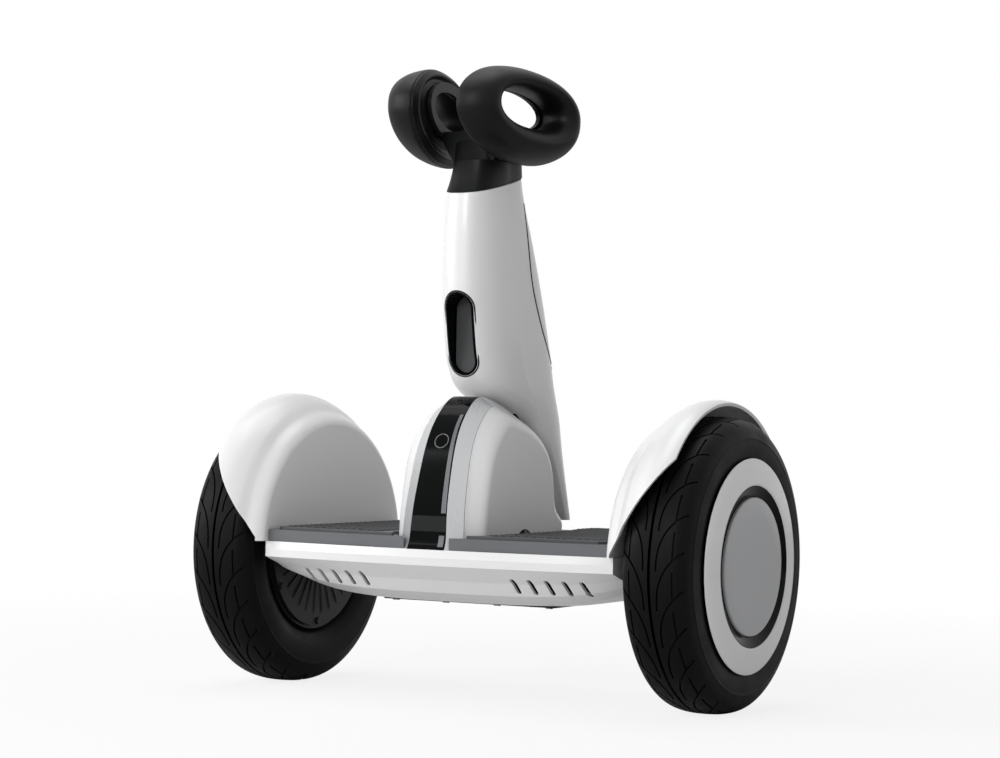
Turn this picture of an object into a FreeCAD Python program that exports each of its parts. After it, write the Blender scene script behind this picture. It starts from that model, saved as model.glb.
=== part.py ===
"""Self balancing personal transporter with two wheels, a foot deck and a knee bar.

Millimetres. +Z is up, the front faces -Y and the wheels turn about X.
The origin is on the floor, midway between the two wheels.
"""
import FreeCAD
import Part
import Sketcher
import math
import os

# Driving dimensions, in millimetres and degrees

SIZES = {
    # wheels
    "wheel_radius": 140.0,
    "wheel_offset": 47.5,
    "tyre_width": 70.0,
    "tyre_bead_radius": 82.5,
    "tyre_wall": 6.0,
    "tyre_bead_width": 50.0,
    "drum_wall": 6.0,
    "drum_disc": 6.0,
    "drum_flange": 3.0,
    "drum_flange_thickness": 3.0,
    "drum_face_offset": 37.0,
    "drum_hub_radius": 24.0,
    "magnet_thickness": 3.0,
    "magnet_width": 34.0,
    "air_gap": 0.8,
    "stator_width": 28.0,
    "stator_hub_radius": 20.0,
    "stator_slot_width": 7.0,
    "stator_slot_depth": 22.0,
    "axle_radius": 8.0,
    "axle_clearance": 0.05,
    "axle_overhang": 6.0,
    "axle_end_gap": 2.5,
    "bearing_radius": 17.5,
    "bearing_width": 9.0,
    "cover_offset": 28.5,
    "cover_thickness": 4.0,
    "cover_boss_radius": 23.0,
    "trim_outer_radius": 101.5,
    "trim_inner_radius": 76.0,
    "trim_thickness": 2.0,
    "trim_rise": 4.5,
    "hub_cap_radius": 65.0,
    "hub_cap_thickness": 3.0,
    "hub_cap_dome": 1.5,
    "screw_head_radius": 3.5,
    "screw_head_height": 2.2,
    "cover_screw_circle": 77.5,
    # hull and deck
    "deck_rise": 9.0,
    "hull_half_width": 192.0,
    "hull_front": 132.5,
    "hull_side_front": 118.0,
    "hull_bulge": 4.0,
    "hull_band": 15.0,
    "hull_wall": 3.0,
    "hull_depth": 55.0,
    "hull_side_rise": 22.0,
    "vent_width": 5.0,
    "vent_height": 15.0,
    "vent_pitch": 17.2,
    "vent_first": 84.0,
    "vent_drop": 32.0,
    "battery_half_length": 96.0,
    "battery_half_depth": 50.0,
    "battery_height": 24.0,
    "battery_cover_margin": 5.0,
    "cover_screw_head": 1.32,
    "frame_half_depth": 58.0,
    "frame_plate_thickness": 7.0,
    "frame_plate_drop": 23.0,
    "frame_boss_half_depth": 17.0,
    "frame_boss_length": 71.0,
    "board_thickness": 1.6,
    "board_standoff": 4.0,
    "control_board_length": 84.0,
    "control_board_depth": 34.0,
    "heat_sink_length": 60.0,
    "heat_sink_depth": 30.0,
    "heat_sink_height": 10.0,
    "sensor_board_side": 26.0,
    "step_thickness": 11.5,
    "step_edge_gap": 2.04,
    "step_corner": 1.02,
    "mat_recess": 3.2,
    "mat_thickness": 4.7,
    "mat_float": 2.6,
    "mat_side_gap": 0.5,
    "mat_border": 3.6,
    "mat_corner": 12.0,
    "switch_radius": 9.0,
    "switch_height": 0.8,
    # fenders
    "fender_thickness": 3.0,
    "fender_tuck": 16.0,
    "fender_clearance": 15.6,
    "fender_reach": 63.0,
    "fender_low_rise": 4.0,
    "fender_low_out": 6.0,
    "fender_high_rise": 97.0,
    # cowl
    "cowl_centre_back": 25.0,
    "cowl_radius": 150.0,
    "cowl_half_width": 48.0,
    "cowl_wall": 2.6,
    "strip_half_width": 20.5,
    "strip_top_half_width": 14.0,
    "band_width": 14.0,
    "band_setback": 9.5,
    "panel_gap": 0.3,
    "light_low_angle": 9.5,
    "light_high_angle": 17.5,
    "button_radius": 6.5,
    "button_angle": 52.0,
    "button_thickness": 4.0,
    "rear_cover_half_width": 38.3,
    # steering pivot
    "pivot_rise": 11.0,
    "pivot_shaft_radius": 7.0,
    "pivot_boss_radius": 15.0,
    "pivot_front": -42.0,
    "pivot_rear": 46.0,
    "pivot_ear_thickness": 12.0,
    "pivot_bearing_radius": 11.0,
    "pivot_foot_half_width": 30.0,
    "lean_angle": 7.0,
    # stem
    "stem_top_rise": 343.0,
    "stem_foot_rise": 23.0,
    "stem_height": 344.0,
    "stem_reach": 150.0,
    "seam_angle": 14.0,
    "stem_low_half_width": 31.0,
    "stem_wall": 3.0,
    "stem_rake_angle": 14.0,
    "tube_radius": 16.0,
    "tube_wall": 2.5,
    "tube_clearance": 0.08,
    "inner_tube_wall": 2.5,
    "tube_bottom_rise": 147.0,
    "tube_top_rise": 333.0,
    "tube_place": -22.0,
    "inner_tube_low_rise": 173.0,
    "arm_front": 16.0,
    "arm_rear": 48.0,
    "arm_clearance": 4.0,
    "arm_room_rise": 83.0,
    "arm_half_width": 11.0,
    "pocket_length": 80.0,
    "pocket_width": 31.0,
    "pocket_depth": 22.0,
    "pocket_wall": 2.0,
    "pocket_front": 77.0,
    "pocket_rise": 206.0,
    # knee bar
    "neck_top_rise": 375.0,
    "neck_half_width": 26.5,
    "neck_front": 75.0,
    "neck_rear": 14.0,
    "ring_centre_side": 51.0,
    "ring_centre_place": -53.0,
    "ring_centre_rise": 419.0,
    "ring_half_length": 84.0,
    "ring_half_height": 47.0,
    "ring_half_thickness": 21.0,
    "ring_flare_angle": 10.0,
    "ring_tilt_angle": 5.0,
    "ring_front_bar": 40.0,
    "ring_rear_bar": 36.0,
    "ring_top_bar": 24.0,
    "ring_low_bar": 34.0,
    "plate_thickness": 5.0,
    "plate_border": 10.0,
    "core_half_width": 35.0,
    "core_front": -58.0,
    "core_rear": -14.0,
    "core_rise": 403.0,
    "release_radius": 4.2,
    "release_travel": 3.0,
    # lights and charging, at the rear
    "tail_light_length": 60.0,
    "tail_light_height": 8.0,
    "tail_light_depth": 2.0,
    "charge_depth": 14.0,
    "charge_radius": 7.0,
    "charge_cap_thickness": 2.2,
    "charge_hinge_radius": 1.1,
    # shared
    "part_gap": 0.3,
    "overrun": 2.0,
}

DOCUMENT = FreeCAD.newDocument("personal_transporter")
SHEET = DOCUMENT.addObject("Spreadsheet::Sheet", "sizes")
for row_number, (alias, amount) in enumerate(SIZES.items(), start=1):
    SHEET.set(f"A{row_number}", alias)
    SHEET.set(f"B{row_number}", str(amount))
    SHEET.setAlias(f"B{row_number}", alias)
DOCUMENT.recompute()

SIDES = {"left": -1, "right": 1}
PIECES = []


class Length:
    """A length that knows its number and the formula on the sheet that gives it."""

    def __init__(self, number, formula):
        self.number = float(number)
        self.formula = formula

    def __float__(self):
        return self.number

    def __neg__(self):
        return Length(-self.number, f"(0 - {self.formula})")

    def __add__(self, other):
        other = as_length(other)
        return Length(self.number + other.number, f"({self.formula} + {other.formula})")

    def __sub__(self, other):
        other = as_length(other)
        return Length(self.number - other.number, f"({self.formula} - {other.formula})")

    def __mul__(self, factor):
        return Length(self.number * float(factor), f"({self.formula} * {float(factor):.9f})")

    def __truediv__(self, factor):
        return self * (1 / factor)

    __radd__ = __add__
    __rmul__ = __mul__


def as_length(amount):
    """Turn a bare zero or a sum of sheet values into a length."""
    if isinstance(amount, Length):
        return amount
    return Length(amount, f"{float(amount):.9f}")


def size(alias):
    """One driving dimension, read from the sheet."""
    return Length(SHEET.get(alias), f"sizes.{alias}")


def bind(feature, property_name, amount):
    """Bind one property of a feature to its formula."""
    feature.setExpression(property_name, as_length(amount).formula)


def place(feature, across=0, along=0, up=0, rotation=None):
    """Place a feature at bound coordinates, turned as asked."""
    if rotation is not None:
        feature.Placement = FreeCAD.Placement(FreeCAD.Vector(), rotation)
    bind(feature, "Placement.Base.x", across)
    bind(feature, "Placement.Base.y", along)
    bind(feature, "Placement.Base.z", up)
    return feature


def vector(across, along, up):
    return FreeCAD.Vector(float(across), float(along), float(up))


AXIS_X = FreeCAD.Vector(1, 0, 0)
AXIS_Y = FreeCAD.Vector(0, 1, 0)
AXIS_Z = FreeCAD.Vector(0, 0, 1)
ALONG_X = FreeCAD.Rotation(AXIS_Y, 90)
ALONG_Y = FreeCAD.Rotation(AXIS_X, -90)
GAP = size("part_gap")
OVERRUN = size("overrun")

# Places and levels that several pieces share

WHEEL_RADIUS = size("wheel_radius")
DECK = WHEEL_RADIUS + size("deck_rise")
HULL_FLOOR = DECK - size("hull_depth")
FRAME_HALF_LENGTH = size("hull_half_width") - size("hull_wall")
FENDER_WALL = size("hull_half_width") - size("fender_thickness")
WHEEL_MIDDLE = size("hull_half_width") + size("wheel_offset")
AXLE_START = FRAME_HALF_LENGTH - size("frame_boss_length") - size("axle_overhang")
AXLE_END = WHEEL_MIDDLE + size("drum_face_offset") - size("drum_disc") - size("axle_end_gap")


def level(alias):
    """A level above the floor, from a rise above the deck."""
    return DECK + size(alias)


PIVOT = level("pivot_rise")


def keep(feature, label):
    """Give a finished sub-part its label and put it on the list to export."""
    feature.Label = label
    PIECES.append(feature)
    return feature


# Helpers for primitives and booleans

def cylinder(radius, length, across=0, along=0, up=0, rotation=None):
    """A bound cylinder, from its foot along its own axis."""
    feature = DOCUMENT.addObject("Part::Cylinder", "rod")
    bind(feature, "Radius", radius)
    bind(feature, "Height", length)
    return place(feature, across, along, up, rotation)


def box(low, high):
    """A bound box between two corners."""
    feature = DOCUMENT.addObject("Part::Box", "block")
    for property_name, start, end in zip(("Length", "Width", "Height"), low, high):
        bind(feature, property_name, as_length(end) - start)
    return place(feature, *low)


def cut(base, tool):
    feature = DOCUMENT.addObject("Part::Cut", "cut")
    feature.Base = base
    feature.Tool = tool
    return feature


def fuse(*shapes):
    feature = DOCUMENT.addObject("Part::MultiFuse", "joined")
    feature.Shapes = list(shapes)
    return feature


def group(*shapes):
    """Several separate solids that share one node."""
    feature = DOCUMENT.addObject("Part::Compound", "group")
    feature.Links = list(shapes)
    return feature


def solid(shape, placement=None):
    """A feature that holds a shape made with Part's own functions."""
    feature = DOCUMENT.addObject("Part::Feature", "shaped")
    feature.Shape = shape
    if placement is not None:
        feature.Placement = placement
    return feature


# Helpers for sketches and bodies

def origin_plane(body, role):
    return next(item for item in body.Origin.OriginFeatures if item.Role == role)


def sketch_on(body, role):
    sketch = body.newObject("Sketcher::SketchObject", "outline")
    sketch.AttachmentSupport = [(origin_plane(body, role), "")]
    sketch.MapMode = "FlatFace"
    return sketch


def draw_corners(sketch, corners):
    """Draw a closed outline of straight lines whose corners are bound to the sheet."""
    first = sketch.GeometryCount
    count = len(corners)
    corners = [(as_length(across), as_length(up)) for across, up in corners]
    for start, end in zip(corners, corners[1:] + corners[:1]):
        line = Part.LineSegment(vector(start[0], start[1], 0), vector(end[0], end[1], 0))
        sketch.addGeometry(line, False)
    for index in range(count):
        following = first + (index + 1) % count
        sketch.addConstraint(Sketcher.Constraint("Coincident", first + index, 2, following, 1))
    for index, corner in enumerate(corners):
        for direction, amount in zip(("DistanceX", "DistanceY"), corner):
            rule = Sketcher.Constraint(direction, first + index, 1, amount.number)
            number = sketch.addConstraint(rule)
            sketch.setExpression(f"Constraints[{number}]", amount.formula)


def draw_circle(sketch, across, up, radius):
    """Draw a circle whose centre and radius are bound to the sheet."""
    across, up, radius = as_length(across), as_length(up), as_length(radius)
    middle = vector(across, up, 0)
    index = sketch.addGeometry(Part.Circle(middle, AXIS_Z, radius.number), False)
    rules = (
        (Sketcher.Constraint("DistanceX", index, 3, across.number), across),
        (Sketcher.Constraint("DistanceY", index, 3, up.number), up),
        (Sketcher.Constraint("Radius", index, radius.number), radius),
    )
    for rule, amount in rules:
        number = sketch.addConstraint(rule)
        sketch.setExpression(f"Constraints[{number}]", amount.formula)


def padded_body(corners, thickness, holes=(), role="XY_Plane"):
    """A body padded from a cornered outline, with round holes given as (across, up, radius)."""
    body = DOCUMENT.addObject("PartDesign::Body", "body")
    sketch = sketch_on(body, role)
    draw_corners(sketch, corners)
    for across, up, radius in holes:
        draw_circle(sketch, across, up, radius)
    pad = body.newObject("PartDesign::Pad", "pad")
    pad.Profile = sketch
    bind(pad, "Length", thickness)
    return body


def turned_body(corners):
    """A body turned about X from an outline of (along the axis, radius) corners."""
    body = DOCUMENT.addObject("PartDesign::Body", "body")
    sketch = sketch_on(body, "XY_Plane")
    draw_corners(sketch, corners)
    turn = body.newObject("PartDesign::Revolution", "turn")
    turn.Profile = sketch
    turn.ReferenceAxis = (sketch, ["H_Axis"])
    turn.Angle = 360
    return body


def cut_pocket(body, role, corners, depth, both_ways=False):
    """Cut a cornered pocket in a body, from one of its origin planes."""
    sketch = sketch_on(body, role)
    draw_corners(sketch, corners)
    pocket = body.newObject("PartDesign::Pocket", "pocket")
    pocket.Profile = sketch
    bind(pocket, "Length", depth)
    pocket.Midplane = both_ways
    return pocket


# Helpers for shaped surfaces

def spline_edge(points):
    curve = Part.BSplineCurve()
    curve.interpolate(points)
    return curve.toShape()


def closed_spline_wire(points):
    curve = Part.BSplineCurve()
    curve.interpolate(points, PeriodicFlag=True)
    return Part.Wire(curve.toShape())


def polygon_wire(points):
    return Part.makePolygon(list(points) + [points[0]])


def loft(wires):
    return Part.makeLoft(wires, True)


def scaled_points(shares, width, height):
    """Turn pairs of shares into pairs of lengths."""
    return [(across * float(width), up * float(height)) for across, up in shares]


# Wheels

TYRE_OUTLINE_SHARES = (
    (0.70, 0.00), (0.705, 0.035), (0.72, 0.07), (0.85, 0.15), (0.97, 0.33), (1.00, 0.50), (0.985, 0.66),
    (0.90, 0.82), (0.70, 0.935), (0.38, 0.988), (0.00, 1.00),
)
AXLE_RADIUS = size("axle_radius")
AXLE_BORE = AXLE_RADIUS + size("axle_clearance")
BARREL_RADIUS = size("tyre_bead_radius") - GAP
BARREL_BORE = BARREL_RADIUS - size("drum_wall")
MAGNET_BORE = BARREL_BORE - size("magnet_thickness")
STATOR_RADIUS = MAGNET_BORE - size("air_gap")
BEARING_SEAT_OUTER = size("drum_face_offset") - size("drum_disc") - size("bearing_width")
COVER_FACE = size("cover_offset") + size("cover_thickness")
STATOR_COILS = 18
STATOR_WEB_SHARE = 0.3
STATOR_RIM_SHARE = 1.3
COVER_SCREWS = 6
TRIM_EDGE_SHARES = (0.5, 0.3)
CAP_EDGE_SHARE = 0.5
CAP_DOME_SHARE = 0.7


def tyre_half_outline(half_width, bead, crown):
    """Points of one half of a tyre's outline, from the bead to the crown."""
    height = float(crown) - float(bead)
    pairs = scaled_points(TYRE_OUTLINE_SHARES, half_width, height)
    return [(across, float(bead) + up) for across, up in pairs]


def tyre_face():
    """The hollow section of the tyre, across the wheel and out from its axis."""
    wall = size("tyre_wall")
    bead = size("tyre_bead_radius")
    outer = tyre_half_outline(size("tyre_width") / 2, bead, WHEEL_RADIUS)
    inner = tyre_half_outline(size("tyre_width") / 2 - wall, bead, WHEEL_RADIUS - wall)
    edges = []
    outer_line = outer + [(-across, up) for across, up in reversed(outer[:-1])]
    inner_line = inner + [(-across, up) for across, up in reversed(inner[:-1])]
    outer_points = [vector(across, up, 0) for across, up in outer_line]
    inner_points = [vector(across, up, 0) for across, up in inner_line]
    edges.append(spline_edge(outer_points))
    edges.append(Part.makeLine(outer_points[-1], inner_points[-1]))
    edges.append(spline_edge(inner_points))
    edges.append(Part.makeLine(inner_points[0], outer_points[0]))
    return Part.Face(Part.Wire(Part.__sortEdges__(edges)))


def make_tyre(name, middle):
    ring = tyre_face().revolve(FreeCAD.Vector(), AXIS_X, 360)
    keep(solid(ring, FreeCAD.Placement(vector(middle, 0, WHEEL_RADIUS), FreeCAD.Rotation())), name)


def turned_wheel_piece(name, side, corners):
    """A turned piece of a wheel; its corners run outwards from the wheel's middle."""
    body = turned_body([(as_length(out) * side, radius) for out, radius in corners])
    place(body, WHEEL_MIDDLE * side, 0, WHEEL_RADIUS)
    return keep(body, name)


def make_drum(name, side):
    """The motor's drum: barrel, outer disc with its bearing seat, and the two tyre flanges."""
    face = size("drum_face_offset")
    disc_back = face - size("drum_disc")
    flange = size("drum_flange_thickness")
    bead = size("tyre_bead_width") / 2 + GAP
    lip = BARREL_RADIUS + size("drum_flange")
    seat = size("bearing_radius") + size("axle_clearance")
    hub = size("drum_hub_radius")
    inner_end = -size("cover_offset")
    corners = [
        (inner_end, BARREL_BORE), (inner_end, lip), (-bead, lip), (-bead, BARREL_RADIUS),
        (bead, BARREL_RADIUS), (bead, lip), (bead + flange, lip), (face, BARREL_RADIUS - flange),
        (face, 0), (disc_back, 0), (disc_back, seat), (BEARING_SEAT_OUTER, seat),
        (BEARING_SEAT_OUTER, hub), (disc_back, hub), (disc_back, BARREL_BORE),
    ]
    return turned_wheel_piece(name, side, corners)


def make_end_cover(name, side):
    """The inner cover of the motor, with the boss that holds the inner bearing."""
    inside = -size("cover_offset") - GAP
    outside = -COVER_FACE - GAP
    seat = size("bearing_radius") + size("axle_clearance")
    boss = size("cover_boss_radius")
    bearing_in = inside + size("bearing_width")
    mouth = AXLE_BORE + size("air_gap")
    corners = [
        (outside, mouth), (outside, BARREL_RADIUS), (inside, BARREL_RADIUS), (inside, boss),
        (bearing_in, boss), (bearing_in, seat), (inside, seat), (inside, mouth),
    ]
    return turned_wheel_piece(name, side, corners)


def make_bearings(name, side):
    """The two ball bearings of one wheel, as closed rings."""
    rings = []
    inner_start = -size("cover_offset") - GAP
    for start in (BEARING_SEAT_OUTER, inner_start):
        low = start if side > 0 else -start - size("bearing_width")
        across = WHEEL_MIDDLE * side + low
        spot = (across, 0, WHEEL_RADIUS, ALONG_X)
        outer = cylinder(size("bearing_radius"), size("bearing_width"), *spot)
        bore = cylinder(AXLE_BORE, size("bearing_width"), *spot)
        rings.append(cut(outer, bore))
    return keep(group(*rings), name)


def make_stator(name, side):
    """The wound core of the motor, with a slot between each two coils."""
    half = size("stator_width") / 2
    hub_half = half - size("bearing_width") / 2
    web_half = half * STATOR_WEB_SHARE
    rim = STATOR_RADIUS - size("stator_slot_depth") * STATOR_RIM_SHARE
    hub = size("stator_hub_radius")
    web = size("stator_slot_depth")
    body = turned_body([
        (-hub_half, AXLE_RADIUS), (-hub_half, hub), (-web_half, hub), (-web_half, rim), (-half, rim),
        (-half, STATOR_RADIUS), (half, STATOR_RADIUS), (half, rim), (web_half, rim), (web_half, hub),
        (hub_half, hub), (hub_half, AXLE_RADIUS),
    ])
    slot_half = size("stator_slot_width") / 2
    pocket = cut_pocket(body, "YZ_Plane", [
        (-slot_half, STATOR_RADIUS - web), (slot_half, STATOR_RADIUS - web),
        (slot_half, STATOR_RADIUS + OVERRUN), (-slot_half, STATOR_RADIUS + OVERRUN),
    ], size("stator_width") + OVERRUN, both_ways=True)
    pattern = body.newObject("PartDesign::PolarPattern", "coils")
    pattern.Originals = [pocket]
    pattern.Axis = (pocket.Profile[0], ["N_Axis"])
    pattern.Angle = 360
    pattern.Occurrences = STATOR_COILS
    body.Tip = pattern
    place(body, WHEEL_MIDDLE * side, 0, WHEEL_RADIUS)
    return keep(body, name)


def make_cover_screws(name, side):
    """The ring of screws that hold the end cover to the drum."""
    screws = []
    circle = size("cover_screw_circle")
    head = (size("screw_head_radius"), size("screw_head_height"))
    start = (WHEEL_MIDDLE - COVER_FACE - GAP - size("screw_head_height")) * side
    for index in range(COVER_SCREWS):
        turn = 2 * math.pi * (index + 0.5) / COVER_SCREWS
        along = circle * math.cos(turn)
        up = WHEEL_RADIUS + circle * math.sin(turn)
        rotation = FreeCAD.Rotation(AXIS_Y, 90 * side)
        screws.append(cylinder(*head, start, along, up, rotation))
    return keep(group(*screws), name)


def make_wheel(side_name, side):
    """All the pieces of one wheel and its hub motor."""
    middle = WHEEL_MIDDLE * side
    make_tyre(f"tyre_{side_name}", middle)
    make_drum(f"wheel_drum_{side_name}", side)
    make_end_cover(f"motor_end_cover_{side_name}", side)
    make_bearings(f"wheel_bearings_{side_name}", side)
    make_stator(f"motor_stator_{side_name}", side)
    make_cover_screws(f"end_cover_screws_{side_name}", side)
    half = size("magnet_width") / 2
    turned_wheel_piece(f"magnet_ring_{side_name}", side, [
        (-half, MAGNET_BORE), (-half, BARREL_BORE), (half, BARREL_BORE), (half, MAGNET_BORE),
    ])
    face = size("drum_face_offset")
    thickness = size("trim_thickness")
    rise = size("trim_rise")
    outer = size("trim_outer_radius")
    inner = size("trim_inner_radius")
    drum_edge = BARREL_RADIUS - size("drum_flange_thickness")
    back, front = (thickness * share for share in TRIM_EDGE_SHARES)
    turned_wheel_piece(f"wheel_trim_ring_{side_name}", side, [
        (face, inner), (face, drum_edge), (face - back, outer), (face + front, outer),
        (face + rise, inner + thickness), (face + rise, inner),
    ])
    cap = size("hub_cap_thickness")
    dome = size("hub_cap_dome")
    radius = size("hub_cap_radius")
    edge = cap - dome * CAP_EDGE_SHARE
    turned_wheel_piece(f"hub_cap_{side_name}", side, [
        (face, 0), (face, radius), (face + edge, radius), (face + cap, radius - dome),
        (face + cap + dome * CAP_DOME_SHARE, radius / 2), (face + cap + dome, 0),
    ])
    start = AXLE_START if side > 0 else -AXLE_END
    axle = cylinder(AXLE_RADIUS, AXLE_END - AXLE_START, start, 0, WHEEL_RADIUS, ALONG_X)
    keep(axle, f"axle_{side_name}")


for side_name, side in SIDES.items():
    make_wheel(side_name, side)


# Hull and the parts inside it

HULL_STATION_SHARES = (-1.0, -0.86, -0.6, -0.3, 0.0, 0.3, 0.6, 0.86, 1.0)
HULL_SECTION_SHARES = ((0.83, 0.62), (0.72, 0.30), (0.55, 0.06), (0.30, 0.0))
VENT_COUNT = 5
VENT_START_SHARE = 0.45
NOTCH_SHARE = 0.1
PORT_START_SHARE = 0.85


def hull_section(station, inset):
    """One section of the hull across Y, at a share of its half width."""
    across = station * (float(size("hull_half_width")) - inset)
    bend = station * station
    front = float(size("hull_front")) * (1 - bend) + float(size("hull_side_front")) * bend - inset
    floor = float(HULL_FLOOR) + float(size("hull_side_rise")) * bend * bend + inset
    band = float(DECK) - float(size("hull_band"))
    bulge = float(size("hull_bulge")) * (1 - bend)
    top = float(DECK) + (float(OVERRUN) if inset else 0)
    half = [(front, top), (front + bulge, (band + float(DECK)) / 2), (front + bulge / 2, band)]
    half += [(front * out, floor + (band - floor) * up) for out, up in HULL_SECTION_SHARES]
    front_side = [vector(across, -out, up) for out, up in half]
    rear_side = [vector(across, out, up) for out, up in reversed(half)]
    return polygon_wire(front_side + rear_side)


def hull_form(inset):
    return loft([hull_section(share, inset) for share in HULL_STATION_SHARES])


def slotted_hole(across, along, up, width, height, depth):
    """A tool that cuts one upright slot with round ends, through the hull's front or rear wall."""
    radius = float(width) / 2
    low = vector(across - radius, along, up - float(height) / 2 + radius)
    slab = Part.makeBox(float(width), float(depth), float(height) - float(width), low)
    ends = [
        Part.makeCylinder(radius, float(depth), FreeCAD.Vector(across, float(along), level), AXIS_Y)
        for level in (low.z, low.z + float(height) - float(width))
    ]
    return slab.fuse(ends)


def make_hull():
    """The lower shell, open at the top, with its vents, axle notches and battery opening."""
    shape = hull_form(0).cut(hull_form(float(size("hull_wall"))))
    tools = []
    reach = float(size("hull_front"))
    vent_level = float(DECK - size("vent_drop"))
    for side in SIDES.values():
        for index in range(VENT_COUNT):
            across = side * (float(size("vent_first")) + index * float(size("vent_pitch")))
            for start in (-reach, reach * VENT_START_SHARE):
                tools.append(slotted_hole(across, start, vent_level, size("vent_width"), size("vent_height"),
                                          reach * (1 - VENT_START_SHARE)))
        notch = float(AXLE_RADIUS + OVERRUN)
        width = float(size("hull_half_width"))
        depth = width * NOTCH_SHARE
        start = width - depth if side > 0 else -width - depth
        tools.append(Part.makeBox(depth * 2, notch * 2, notch * 2, vector(start, -notch, WHEEL_RADIUS)))
        tools.append(Part.makeCylinder(notch, depth * 2, vector(start, 0, WHEEL_RADIUS), AXIS_X))
    half_length = float(size("battery_half_length"))
    half_depth = float(size("battery_half_depth"))
    opening = Part.makeBox(half_length * 2, half_depth * 2, float(size("hull_wall") + OVERRUN * 2),
                           vector(-half_length, -half_depth, HULL_FLOOR - OVERRUN))
    tools.append(opening)
    port = float(size("charge_radius") + GAP)
    port_level = float(DECK) - float(size("hull_band")) / 2
    port_start = reach * PORT_START_SHARE
    tools.append(Part.makeCylinder(port, (reach - port_start) * 2, vector(0, port_start, port_level), AXIS_Y))
    keep(solid(shape.cut(tools).removeSplitter()), "lower_hull")


make_hull()

BATTERY_LENGTH = size("battery_half_length") - GAP
BATTERY_DEPTH = size("battery_half_depth") - GAP
BATTERY_LOW = HULL_FLOOR + size("hull_wall") + GAP
FRAME_TOP = DECK - size("frame_plate_drop") + size("frame_plate_thickness")
FRAME_LOW = DECK - size("frame_plate_drop")

keep(box((-BATTERY_LENGTH, -BATTERY_DEPTH, HULL_FLOOR),
         (BATTERY_LENGTH, BATTERY_DEPTH, HULL_FLOOR + size("hull_wall"))), "battery_cover")
BATTERY_SIDE = BATTERY_LENGTH - size("battery_cover_margin")
keep(box((-BATTERY_SIDE, -BATTERY_DEPTH, BATTERY_LOW),
         (BATTERY_SIDE, BATTERY_DEPTH, BATTERY_LOW + size("battery_height"))), "battery_pack")


def make_chassis_frame():
    """The load carrying frame: a plate with a clamp block for each axle."""
    half_length = FRAME_HALF_LENGTH
    half_depth = size("frame_half_depth")
    plate = box((-half_length, -half_depth, FRAME_LOW), (half_length, half_depth, FRAME_TOP))
    boss = size("frame_boss_half_depth")
    blocks = []
    bores = []
    for side in SIDES.values():
        inner = (half_length - size("frame_boss_length")) * side
        outer = half_length * side
        low, high = (inner, outer) if side > 0 else (outer, inner)
        blocks.append(box((low, -boss, FRAME_LOW), (high, boss, DECK)))
        start = AXLE_START if side > 0 else -AXLE_END
        bores.append(cylinder(AXLE_RADIUS, AXLE_END - AXLE_START, start, 0, WHEEL_RADIUS, ALONG_X))
    body = cut(fuse(plate, *blocks), fuse(*bores))
    return keep(body, "chassis_frame")


make_chassis_frame()


def make_board(label, length, depth, across, along):
    """A circuit board on four short standoffs."""
    half_length, half_depth = length / 2, depth / 2
    low = FRAME_TOP + size("board_standoff")
    plate = box((across - half_length, along - half_depth, low),
                (across + half_length, along + half_depth, low + size("board_thickness")))
    legs = []
    inset = size("board_standoff")
    for out in (-1, 1):
        for forth in (-1, 1):
            legs.append(cylinder(inset / 2, inset, across + (half_length - inset) * out,
                                 along + (half_depth - inset) * forth, FRAME_TOP))
    return keep(fuse(plate, *legs), label)


make_board("control_board", size("control_board_length"), size("control_board_depth"),
           -size("control_board_length"), size("control_board_depth") / 2 - size("frame_half_depth"))
make_board("balance_sensor_board", size("sensor_board_side"), size("sensor_board_side"),
           -size("control_board_length"), size("frame_half_depth") - size("sensor_board_side") / 2)


FIN_COUNT = 8
FIN_FOOT_SHARE = 0.4
SINK_START_SHARE = 0.7


def make_heat_sink():
    """The motor controller's finned block."""
    length, depth, height = size("heat_sink_length"), size("heat_sink_depth"), size("heat_sink_height")
    start = size("frame_boss_length") * SINK_START_SHARE
    along = size("frame_half_depth") - depth
    block = box((start, along, FRAME_TOP), (start + length, along + depth, FRAME_TOP + height))
    grooves = []
    groove = length / (FIN_COUNT * 2)
    for index in range(1, FIN_COUNT):
        low = start + length * (index / FIN_COUNT) - groove / 2
        grooves.append(box((low, along - OVERRUN, FRAME_TOP + height * FIN_FOOT_SHARE),
                           (low + groove, along + depth + OVERRUN, FRAME_TOP + height + OVERRUN)))
    return keep(cut(block, fuse(*grooves)), "motor_controller")


make_heat_sink()

# Step plates, mats and the switches under them

COWL_SHOULDER_SHARES = ((0.80, 0.105), (0.955, 0.151), (1.0, 0.21))
COWL_SIDE = size("cowl_half_width")
STEP_TOP = DECK + size("step_thickness")
STEP_OUTER = FENDER_WALL - GAP
STEP_INNER = COWL_SIDE + GAP * 4
DECK_FRONT = size("hull_front") - size("step_edge_gap")
DECK_BOW_SHARE = 0.1
DECK_BACK_SHARES = (0.62, 0.42)
SWITCH_PLACE_SHARES = (-0.45, 0.45)
STRIP_EDGE = size("strip_half_width")
BAND_EDGE = STRIP_EDGE + size("band_width")


def inset_corners(corners, inset):
    """Move the corners of a closed outline inwards, so that each side moves by the same length."""
    points = [vector(across, along, 0) for across, along in corners]
    moved = []
    for index, (across, along) in enumerate(corners):
        before = (points[index] - points[index - 1]).normalize()
        after = (points[(index + 1) % len(points)] - points[index]).normalize()
        inward = [FreeCAD.Vector(-edge.y, edge.x, 0) for edge in (before, after)]
        shift = (inward[0] + inward[1]) / (1 + inward[0].dot(inward[1]))
        moved.append((across + inset * shift.x, along + inset * shift.y))
    return moved


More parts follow.
